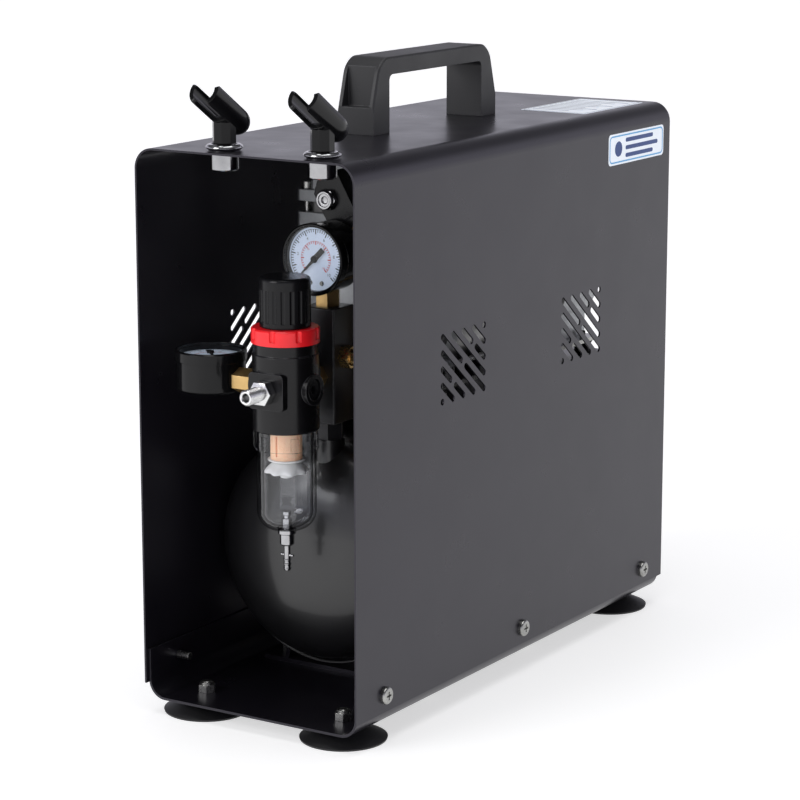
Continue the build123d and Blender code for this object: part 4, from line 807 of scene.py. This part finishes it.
def dialScrews(name, place, look):
    mesh = bmesh.new()
    for side in (-1, 1):
        head = bmesh.ops.create_cone(
            mesh, cap_ends=True, segments=24, radius1=look["radius"], radius2=look["radius"] * 0.7,
            depth=look["height"],
        )["verts"]
        bmesh.ops.translate(mesh, vec=(side * look["spread"], -look["below"], look["height"] / 2), verts=head)
    bmesh.ops.transform(mesh, matrix=place, verts=mesh.verts)
    return finishPiece(name, mesh, "zincPlate", "case")


dialScrews("tankDialScrews", tankFace, dialScrewLook)
dialScrews("regulatorDialScrews", regulatorFace, dialScrewLook)
print("pointers set")


# Generic prints on the two labels
def addPatch(mesh, x, y, width, height, corner=0.0):
    verts = bmesh.ops.create_grid(mesh, x_segments=1, y_segments=1, size=0.5)["verts"]
    bmesh.ops.scale(mesh, vec=(width, height, 1), verts=verts)
    bmesh.ops.translate(mesh, vec=(x, y, 0), verts=verts)
    if corner:
        bmesh.ops.bevel(
            mesh, geom=verts, offset=corner, segments=4, profile=0.5, affect="VERTICES", material=-1
        )


def addFrameBand(mesh, width, height, band, corner):
    verts = bmesh.ops.create_grid(mesh, x_segments=1, y_segments=1, size=0.5)["verts"]
    bmesh.ops.scale(mesh, vec=(width, height, 1), verts=verts)
    bmesh.ops.bevel(mesh, geom=verts, offset=corner, segments=5, profile=0.5, affect="VERTICES", material=-1)
    inner = list(mesh.faces)
    bmesh.ops.inset_region(mesh, faces=inner, thickness=band, use_boundary=True, use_even_offset=True)
    bmesh.ops.delete(mesh, geom=inner, context="FACES")


labelThickness = 0.00025
sideLabelLook = {
    "behindMiddle": 0.150,
    "height": 0.3355,
    "size": (0.080, 0.021),
    "margin": 0.0012,
    "band": 0.0010,
    "corner": 0.0035,
    "lift": 0.00006,
    "disc": 0.0052,
    "discSide": -0.026,
    "stripes": [(0.0052, 0.040), (0.0, 0.047), (-0.0052, 0.040)],
    "stripeStart": -0.016,
    "stripeHeight": 0.0028,
    "stripeCorner": 0.0012,
}
topLabelLook = {
    "side": 0.040,
    "behindMiddle": 0.146,
    "size": (0.050, 0.084),
    "lines": 9,
    "lift": 0.00006,
}


def sideLabelPrint(look):
    outward = Matrix(((0, 0, 1), (1, 0, 0), (0, 1, 0))).to_4x4()
    spot = Vector(
        (coverBox[1][0] + labelThickness + look["lift"], coverMiddle.y + look["behindMiddle"], look["height"])
    )
    place = Matrix.Translation(spot) @ outward
    width, height = look["size"]
    band = bmesh.new()
    addFrameBand(
        band, width - 2 * look["margin"], height - 2 * look["margin"], look["band"], look["corner"]
    )
    bmesh.ops.transform(band, matrix=place, verts=band.verts)
    finishPiece("sideLabelFrame", band, inkSky, "case", smooth=False)
    # A generic badge: a dark disc that sprays three widening stripes
    badge = bmesh.new()
    disc = bmesh.ops.create_circle(badge, cap_ends=True, segments=32, radius=look["disc"])["verts"]
    bmesh.ops.translate(badge, vec=(look["discSide"], 0, 0), verts=disc)
    for row, length in look["stripes"]:
        addPatch(
            badge, look["stripeStart"] + length / 2, row, length, look["stripeHeight"], look["stripeCorner"]
        )
    bmesh.ops.transform(badge, matrix=place, verts=badge.verts)
    finishPiece("sideLabelBadge", badge, inkBlue, "case", smooth=False)


def topLabelPrint(look):
    place = Matrix.Translation(
        (look["side"], coverMiddle.y + look["behindMiddle"], coverBox[1][2] + labelThickness + look["lift"])
    )
    width, height = look["size"]
    lines = bmesh.new()
    step = height / (look["lines"] + 2)
    for row in range(look["lines"]):
        length = width * (0.82 - 0.13 * (row % 3))
        addPatch(lines, -width * 0.43 + length / 2, height / 2 - step * (row + 1.5), length, step * 0.22)
    bmesh.ops.transform(lines, matrix=place, verts=lines.verts)
    finishPiece("topLabelLines", lines, inkGrey, "case", smooth=False)
    band = bmesh.new()
    addFrameBand(band, width - 0.003, height - 0.003, 0.0005, 0.0015)
    bmesh.ops.transform(band, matrix=place, verts=band.verts)
    finishPiece("topLabelFrame", band, inkBlack, "case", smooth=False)


sideLabelPrint(sideLabelLook)
topLabelPrint(topLabelLook)
print("labels printed")

# Outlet nipple with real threads, and the switch fitting
nippleLook = {
    "hexFlat": 0.014,
    "neck": 0.0041,
    "thread": 0.00486,
    "threadRoot": 0.0044,
    "pitch": 0.000907,
    "turns": 12,
    "bore": 0.0026,
    "bodyDepth": 0.010,
}


def forwardPlace(x, y, z):
    # Local z points out of the open front
    return Matrix.Translation((x, y, z)) @ Matrix(((1, 0, 0), (0, 0, -1), (0, 1, 0))).to_4x4()


def addHexagon(mesh, flat, low, high, edge):
    verts = bmesh.ops.create_cone(
        mesh, cap_ends=True, segments=6, radius1=flat / 2 / cos(pi / 6), radius2=flat / 2 / cos(pi / 6),
        depth=high - low,
    )["verts"]
    bmesh.ops.translate(mesh, vec=(0, 0, (low + high) / 2), verts=verts)
    bmesh.ops.rotate(mesh, matrix=Matrix.Rotation(pi / 6, 3, "Z"), verts=verts)
    sides = {link for vert in verts for link in vert.link_edges}
    bmesh.ops.bevel(mesh, geom=list(sides), offset=edge, segments=2, profile=0.5, affect="EDGES", material=-1)


def makeNipple(look):
    low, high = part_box("outlet_nipple")
    axis = ((low[0] + high[0]) / 2, (low[2] + high[2]) / 2)
    length = look["pitch"] * look["turns"]
    tip = Vector((axis[0], low[1], axis[1]))
    mesh = bmesh.new()
    threadStart = -length - 0.0008
    profile = [
        (look["bore"], -0.020),
        (look["bore"], -0.0005),
        (look["bore"] + 0.0005, 0),
        (look["threadRoot"] - 0.0004, 0),
        (look["threadRoot"], -0.0005),
    ]
    for turn in range(look["turns"]):
        height = -0.0008 - turn * look["pitch"]
        profile += [
            (look["threadRoot"], height),
            (look["thread"], height - look["pitch"] * 0.35),
            (look["thread"], height - look["pitch"] * 0.6),
        ]
    profile += [(look["neck"], threadStart - 0.0003), (look["neck"], threadStart - 0.003)]
    turned(mesh, profile, 40)
    hexTop = threadStart - 0.0024
    hexLow = -(high[1] - low[1]) + look["bodyDepth"]
    addHexagon(mesh, look["hexFlat"], hexLow, hexTop, 0.0006)
    bmesh.ops.recalc_face_normals(mesh, faces=mesh.faces)
    bmesh.ops.transform(mesh, matrix=forwardPlace(*tip), verts=mesh.verts)
    nipple = finishPiece("outletNipple", mesh, "nickelPlate", "case")
    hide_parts("outlet_nipple")


makeNipple(nippleLook)

switchFittingLook = {
    "hexFlat": 0.0126,
    "hexHeight": 0.0030,
    "collar": 0.0061,
    "collarHeight": 0.0020,
    "recess": 0.0042,
    "recessDepth": 0.0009,
    "bore": 0.0021,
    "stem": 0.0048,
}


def makeSwitchFitting(look):
    low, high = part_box("switch_nut")
    tip = Vector(((low[0] + high[0]) / 2, low[1], (low[2] + high[2]) / 2))
    back = -(high[1] - low[1])
    mesh = bmesh.new()
    collarLow = -look["collarHeight"]
    turned(
        mesh,
        [
            (look["bore"], back),
            (look["bore"], -look["recessDepth"] - 0.0004),
            (look["bore"] + 0.0004, -look["recessDepth"]),
            (look["recess"], -look["recessDepth"]),
            (look["recess"], -0.0002),
            (look["recess"] + 0.0002, 0),
            (look["collar"] - 0.0007, 0),
            (look["collar"], -0.0007),
            (look["collar"], collarLow),
            (look["stem"], collarLow - 0.0001),
            (look["stem"], back),
            (look["bore"], back),
        ],
        48,
    )
    addHexagon(mesh, look["hexFlat"], collarLow - look["hexHeight"], collarLow, 0.0005)
    bmesh.ops.recalc_face_normals(mesh, faces=mesh.faces)
    bmesh.ops.transform(mesh, matrix=forwardPlace(*tip), verts=mesh.verts)
    fitting = finishPiece("switchFitting", mesh, "chromePlate", "case")
    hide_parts("switch_nut")


makeSwitchFitting(switchFittingLook)

# Airbrush cradles: glossy trough with two prongs and a bullet nose, on an octagonal post
cradleLook = {
    "tilt": 33,
    "middleAboveTop": 0.0245,
    "radius": 0.0099,
    "wall": 0.0026,
    "front": 0.0238,
    "rear": 0.0080,
    "nose": 0.0165,
    "rimAngle": 26,
    "notchHalfWidth": 0.0056,
    "notchEnd": 0.0035,
    "tipRound": 0.0014,
    "postRadius": 0.0073,
    "postTop": 0.0200,
    "postFoot": 0.0045,
    "pinRadius": 0.0040,
    "pinTop": 0.0050,
    "edge": 0.0006,
}


def troughSheet(look):
    # Outer skin only: a bullet-nosed half tube along local z, open upwards, with the notch cut out
    mesh = bmesh.new()
    profile = [(look["radius"], look["front"] - (look["front"] + look["rear"]) * i / 24) for i in range(25)]
    profile += [
        (look["radius"] * cos(radians(a)), -look["rear"] - look["nose"] * sin(radians(a)))
        for a in range(8, 89, 8)
    ]
    points = [mesh.verts.new((radius, 0, along)) for radius, along in profile]
    edges = [mesh.edges.new(pair) for pair in zip(points, points[1:])]
    sweep = 180 + 2 * look["rimAngle"]
    bmesh.ops.spin(
        mesh, geom=[*points, *edges], cent=(0, 0, 0), axis=(0, 0, 1), angle=radians(-sweep), steps=48
    )
    bmesh.ops.rotate(mesh, matrix=Matrix.Rotation(radians(look["rimAngle"]), 3, "Z"), verts=mesh.verts)
    for side in (-1, 1):
        bmesh.ops.bisect_plane(
            mesh, geom=[*mesh.verts, *mesh.edges, *mesh.faces],
            plane_co=(side * look["notchHalfWidth"], 0, 0), plane_no=(1, 0, 0),
        )
    bmesh.ops.bisect_plane(
        mesh, geom=[*mesh.verts, *mesh.edges, *mesh.faces], plane_co=(0, 0, look["notchEnd"]),
        plane_no=(0, 0, 1),
    )
    notch = []
    for face in mesh.faces:
        spot = face.calc_center_median()
        if abs(spot.x) < look["notchHalfWidth"] and spot.y < 0 and spot.z > look["notchEnd"]:
            notch.append(face)
    bmesh.ops.delete(mesh, geom=notch, context="FACES")
    # Round the corners of each prong's tip by drawing the end back towards its edges
    low = -acos(look["notchHalfWidth"] / look["radius"])
    high = radians(look["rimAngle"])
    for vert in mesh.verts:
        if vert.co.z > look["notchEnd"] and abs(vert.co.x) > look["notchHalfWidth"] - 1e-5:
            angle = atan2(vert.co.y, abs(vert.co.x))
            edgeGap = min(angle - low, high - angle) * look["radius"]
            short = max(0.0, look["tipRound"] - edgeGap)
            drawn = look["tipRound"] - sqrt(max(0.0, look["tipRound"] ** 2 - short**2))
            share = (vert.co.z - look["notchEnd"]) / (look["front"] - look["notchEnd"])
            vert.co.z -= drawn * share
    bmesh.ops.recalc_face_normals(mesh, faces=mesh.faces)
    return mesh


def makeCradle(name, axis, body, node, look):
    mesh = troughSheet(look)
    bmesh.ops.solidify(mesh, geom=[*mesh.verts, *mesh.edges, *mesh.faces], thickness=look["wall"])
    tilt = Matrix.Rotation(radians(90 - look["tilt"]), 4, "X")
    top = coverBox[1][2]
    bmesh.ops.transform(mesh, matrix=tilt, verts=mesh.verts)
    bmesh.ops.translate(mesh, vec=(0, 0, look["middleAboveTop"]), verts=mesh.verts)
    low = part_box(node)[0][2] - top
    post = bmesh.ops.create_cone(
        mesh, cap_ends=True, segments=8, radius1=look["postRadius"], radius2=look["postRadius"],
        depth=look["postTop"] - look["postFoot"],
    )["verts"]
    bmesh.ops.rotate(mesh, matrix=Matrix.Rotation(radians(22.5), 3, "Z"), verts=post)
    bmesh.ops.translate(mesh, vec=(0, 0, (look["postTop"] + look["postFoot"]) / 2), verts=post)
    pin = bmesh.ops.create_cone(
        mesh, cap_ends=True, segments=32, radius1=look["pinRadius"], radius2=look["pinRadius"],
        depth=look["pinTop"] - low,
    )["verts"]
    bmesh.ops.translate(mesh, vec=(0, 0, (look["pinTop"] + low) / 2), verts=pin)
    bmesh.ops.translate(mesh, vec=(axis[0], axis[1], top), verts=mesh.verts)
    bmesh.ops.recalc_face_normals(mesh, faces=mesh.faces)
    cradle = finishPiece(name, mesh, "glossBlack", body)
    soften = cradle.modifiers.new("edges", "BEVEL")
    soften.width = look["edge"]
    soften.segments = 3
    soften.limit_method = "ANGLE"
    soften.angle_limit = radians(40)
    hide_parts(node)


for side in ("left", "right"):
    makeCradle(
        side + "Cradle", joints[side + "_cradle_swivel"]["pos_m"], side + "_cradle",
        "airbrush_cradle_" + side, cradleLook,
    )

# Bushings that hold the cradles: a rounded cup above the sheet, a plain nut below
bushingLook = {"height": 0.0040, "rim": 0.0114, "waist": 0.0098, "bore": 0.0042, "nut": 0.00865}


def makeBushings(look):
    top = coverBox[1][2]
    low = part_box("holder_bushings")[0][2] - top
    mesh = bmesh.new()
    for side in ("left", "right"):
        axis = joints[side + "_cradle_swivel"]["pos_m"]
        ring = bmesh.new()
        height, rim, waist, nut = look["height"], look["rim"], look["waist"], look["nut"]
        turned(
            ring,
            [
                (look["bore"], low), (look["bore"], height - 0.0012), (0.0074, height - 0.0011),
                (0.0080, height - 0.0004), (0.0086, height), (0.0094, height), (0.0104, height - 0.0004),
                (rim - 0.0002, height - 0.0012), (rim, height - 0.0020), (rim - 0.0004, height - 0.0027),
                (waist + 0.0002, height - 0.0033), (waist, 0.0004), (waist, 0.00002), (0.0060, 0.00002),
                (0.0060, -0.00105), (nut, -0.00107), (nut, low + 0.0009), (nut - 0.0009, low),
                (look["bore"], low),
            ],
            64,
        )
        bmesh.ops.translate(ring, vec=(axis[0], axis[1], top), verts=ring.verts)
        bmesh.ops.recalc_face_normals(ring, faces=ring.faces)
        data = bpy.data.meshes.new("ring")
        ring.to_mesh(data)
        ring.free()
        mesh.from_mesh(data)
        bpy.data.meshes.remove(data)
    bushings = finishPiece("cradleBushings", mesh, "chromePlate", "case")
    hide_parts("holder_bushings")


makeBushings(bushingLook)
print("cradles made")

# Filter cartridge inside the bowl: slotted element, white foot and a lobed splash baffle
filterLook = {
    "radius": 0.0098,
    "slots": 8,
    "slotLow": 0.0022,
    "slotHigh": 0.0150,
    "slotShare": 1 / 6,
    "slotEdge": 0.0002,
    "slotDepth": 0.0016,
    "footRadius": 0.0115,
    "footHeight": 0.0010,
    "stem": 0.0038,
    "lobes": 8,
    "lobeDepth": 0.06,
}


def makeFilter(look):
    low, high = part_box("filter_element")
    axis = ((low[0] + high[0]) / 2, (low[1] + high[1]) / 2)
    height = high[2] - low[2]
    core = bmesh.new()
    bmesh.ops.create_cone(
        core, cap_ends=True, segments=48, radius1=look["radius"], radius2=look["radius"], depth=height
    )
    bmesh.ops.translate(core, vec=(0, 0, height / 2), verts=core.verts)
    for level in (look["slotLow"], look["slotHigh"]):
        bmesh.ops.bisect_plane(
            core, geom=[*core.verts, *core.edges, *core.faces], plane_co=(0, 0, level), plane_no=(0, 0, 1)
        )
    slots = []
    for face in core.faces:
        spot = face.calc_center_median()
        if look["slotLow"] < spot.z < look["slotHigh"] and abs(face.normal.z) < 0.5:
            turn = (atan2(spot.y, spot.x) / (2 * pi) * look["slots"] + 0.25) % 1.0
            if turn < look["slotShare"]:
                slots.append(face)
    bmesh.ops.inset_region(core, faces=slots, thickness=look["slotEdge"], depth=-look["slotDepth"])
    bmesh.ops.translate(core, vec=(*axis, low[2]), verts=core.verts)
    finishPiece("filterCore", core, "sinteredFilter", "case")
    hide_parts("filter_element")

    baffle = bmesh.new()
    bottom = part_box("filter_baffle")[0][2] - low[2]
    foot = look["footHeight"]
    turned(
        baffle,
        [
            (0, bottom), (look["stem"], bottom), (0.0042, -0.0075), (0.0100, -0.0084), (0.0132, -0.0088),
            (0.0139, -0.0084), (0.0138, -0.0074), (0.0126, -0.0058), (0.0102, -0.0040), (0.0078, -0.0026),
            (0.0062, -foot - 0.0004), (look["footRadius"] - 0.0003, -foot), (look["footRadius"], -foot * 0.7),
            (look["footRadius"], -foot * 0.2), (look["footRadius"] - 0.0003, 0), (0, 0),
        ],
        96,
    )
    for vert in baffle.verts:
        reach = (vert.co.xy.length - 0.0085) / 0.0054
        if vert.co.z < -0.003 and reach > 0:
            wave = cos(look["lobes"] * atan2(vert.co.y, vert.co.x))
            vert.co.xy *= 1 - look["lobeDepth"] * reach * (1 - wave)
            vert.co.z += 0.0003 * reach * (1 - wave)
    bmesh.ops.recalc_face_normals(baffle, faces=baffle.faces)
    bmesh.ops.translate(baffle, vec=(*axis, low[2]), verts=baffle.verts)
    piece = finishPiece("splashBaffle", baffle, "whitePlastic", "case")
    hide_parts("filter_baffle")


makeFilter(filterLook)

# Weld beads where the tank's domes meet its barrel
weldLook = {"inset": 0.033, "bead": 0.0011, "radius": 0.073}


def makeWelds(look):
    low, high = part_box("tank")
    axisHeight = low[2] + look["radius"]
    mesh = bmesh.new()
    for station in (low[1] + look["inset"], high[1] - look["inset"]):
        ring = bmesh.ops.create_circle(mesh, segments=10, radius=look["bead"])["verts"]
        bmesh.ops.rotate(mesh, matrix=Matrix.Rotation(pi / 2, 3, "X"), verts=ring)
        bmesh.ops.rotate(mesh, matrix=Matrix.Rotation(pi / 2, 3, "Z"), verts=ring)
        bmesh.ops.translate(mesh, vec=(0, station, axisHeight + look["radius"]), verts=ring)
        edges = list({edge for vert in ring for edge in vert.link_edges})
        bmesh.ops.spin(
            mesh, geom=[*ring, *edges], cent=(0, 0, axisHeight), axis=(0, 1, 0), angle=2 * pi, steps=120,
            use_merge=True,
        )
    bmesh.ops.remove_doubles(mesh, verts=mesh.verts, dist=1e-6)
    bmesh.ops.recalc_face_normals(mesh, faces=mesh.faces)
    finishPiece("tankWelds", mesh, "tankPaint", "case")


makeWelds(weldLook)
print("fittings made")

# Floor, light and camera
stageLook = {
    "floorSize": 12.0,
    "floorColour": (0.66, 0.66, 0.66),
    "floorGlow": 0.59,
    "farGlow": 0.78,
    "glowStart": 0.4,
    "glowEnd": 2.0,
    "skyStrength": 1.0,
    "sky": [
        (0.0, (1.1, 1.1, 1.12)),
        (0.03, (0.77, 0.76, 0.86)),
        (0.27, (0.77, 0.76, 0.86)),
        (0.48, (0.10, 0.10, 0.11)),
        (0.75, (0.16, 0.16, 0.17)),
        (1.0, (0.45, 0.45, 0.47)),
    ],
}


def makeFloor(look):
    mesh = bmesh.new()
    bmesh.ops.create_grid(mesh, x_segments=1, y_segments=1, size=look["floorSize"] / 2)
    data = bpy.data.meshes.new("floor")
    mesh.to_mesh(data)
    mesh.free()
    floor = bpy.data.objects.new("floor", data)
    bpy.context.scene.collection.objects.link(floor)
    material, tree, shader, coords = newMaterial("paleFloor")
    tone = noiseTexture(tree, coords, 3.0, 2.0)
    pale = tuple(c * 1.02 for c in look["floorColour"])
    tree.links.new(
        colourRamp(tree, tone, [(0.3, look["floorColour"]), (0.7, pale)]), shader.inputs["Base Color"]
    )
    shader.inputs["Roughness"].default_value = 0.6
    shader.inputs["Emission Color"].default_value = (1, 1, 1, 1)
    reach = tree.nodes.new("ShaderNodeVectorMath")
    reach.operation = "LENGTH"
    tree.links.new(coords, reach.inputs[0])
    glow = tree.nodes.new("ShaderNodeMapRange")
    glow.inputs["From Min"].default_value = look["glowStart"]
    glow.inputs["From Max"].default_value = look["glowEnd"]
    glow.inputs["To Min"].default_value = look["floorGlow"]
    glow.inputs["To Max"].default_value = look["farGlow"]
    tree.links.new(reach.outputs["Value"], glow.inputs["Value"])
    tree.links.new(glow.outputs["Result"], shader.inputs["Emission Strength"])
    data.materials.append(material)


def makeSky(look):
    world = bpy.data.worlds.new("studioSky")
    bpy.context.scene.world = world
    world.use_nodes = True
    tree = world.node_tree
    background = tree.nodes["Background"]
    coords = tree.nodes.new("ShaderNodeTexCoord")
    split = tree.nodes.new("ShaderNodeSeparateXYZ")
    tree.links.new(coords.outputs["Generated"], split.inputs["Vector"])
    shade = colourRamp(tree, split.outputs["Z"], look["sky"])
    tree.links.new(shade, background.inputs["Color"])
    background.inputs["Strength"].default_value = look["skyStrength"]


lightLook = {
    "overheadSoftbox": {"place": (0.2, -0.1, 2.4), "aim": (0.0, 0.0, 0.2), "size": (1.6, 1.6), "power": 22},
    "frontSoftbox": {"place": (-0.75, -1.95, 1.3), "aim": (0.0, -0.1, 0.2), "size": (1.0, 1.2), "power": 19},
}


def areaLight(name, place, aim, size, power):
    light = bpy.data.lights.new(name, "AREA")
    light.shape = "RECTANGLE"
    light.size, light.size_y = size
    light.energy = power
    lamp = bpy.data.objects.new(name, light)
    lamp.location = place
    lamp.rotation_euler = (Vector(aim) - Vector(place)).to_track_quat("-Z", "Y").to_euler()
    bpy.context.scene.collection.objects.link(lamp)


cameraLook = {
    "azimuth": 32.38,
    "elevation": 12.193,
    "lens": 124.89,
    "place": (0.9550, -1.5309, 0.5655),  # from the cover's middle and the floor
}


def makeCamera(look):
    camera = bpy.data.cameras.new("camera")
    camera.lens = look["lens"]
    camera.sensor_width = 36.0
    camera.clip_start = 0.05
    camera.clip_end = 50.0
    holder = bpy.data.objects.new("camera", camera)
    azimuth, elevation = radians(look["azimuth"]), radians(look["elevation"])
    forward = Vector(
        (-sin(azimuth) * cos(elevation), cos(azimuth) * cos(elevation), -sin(elevation))
    )
    holder.location = Vector(look["place"]) + Vector((coverMiddle.x, coverMiddle.y, 0))
    holder.rotation_euler = forward.to_track_quat("-Z", "Y").to_euler()
    bpy.context.scene.collection.objects.link(holder)
    bpy.context.scene.camera = holder


makeFloor(stageLook)
makeSky(stageLook)
for name, light in lightLook.items():
    areaLight(name, light["place"], light["aim"], light["size"], light["power"])
makeCamera(cameraLook)
bpy.context.scene.view_settings.view_transform = "Standard"
print("stage, light and camera set")
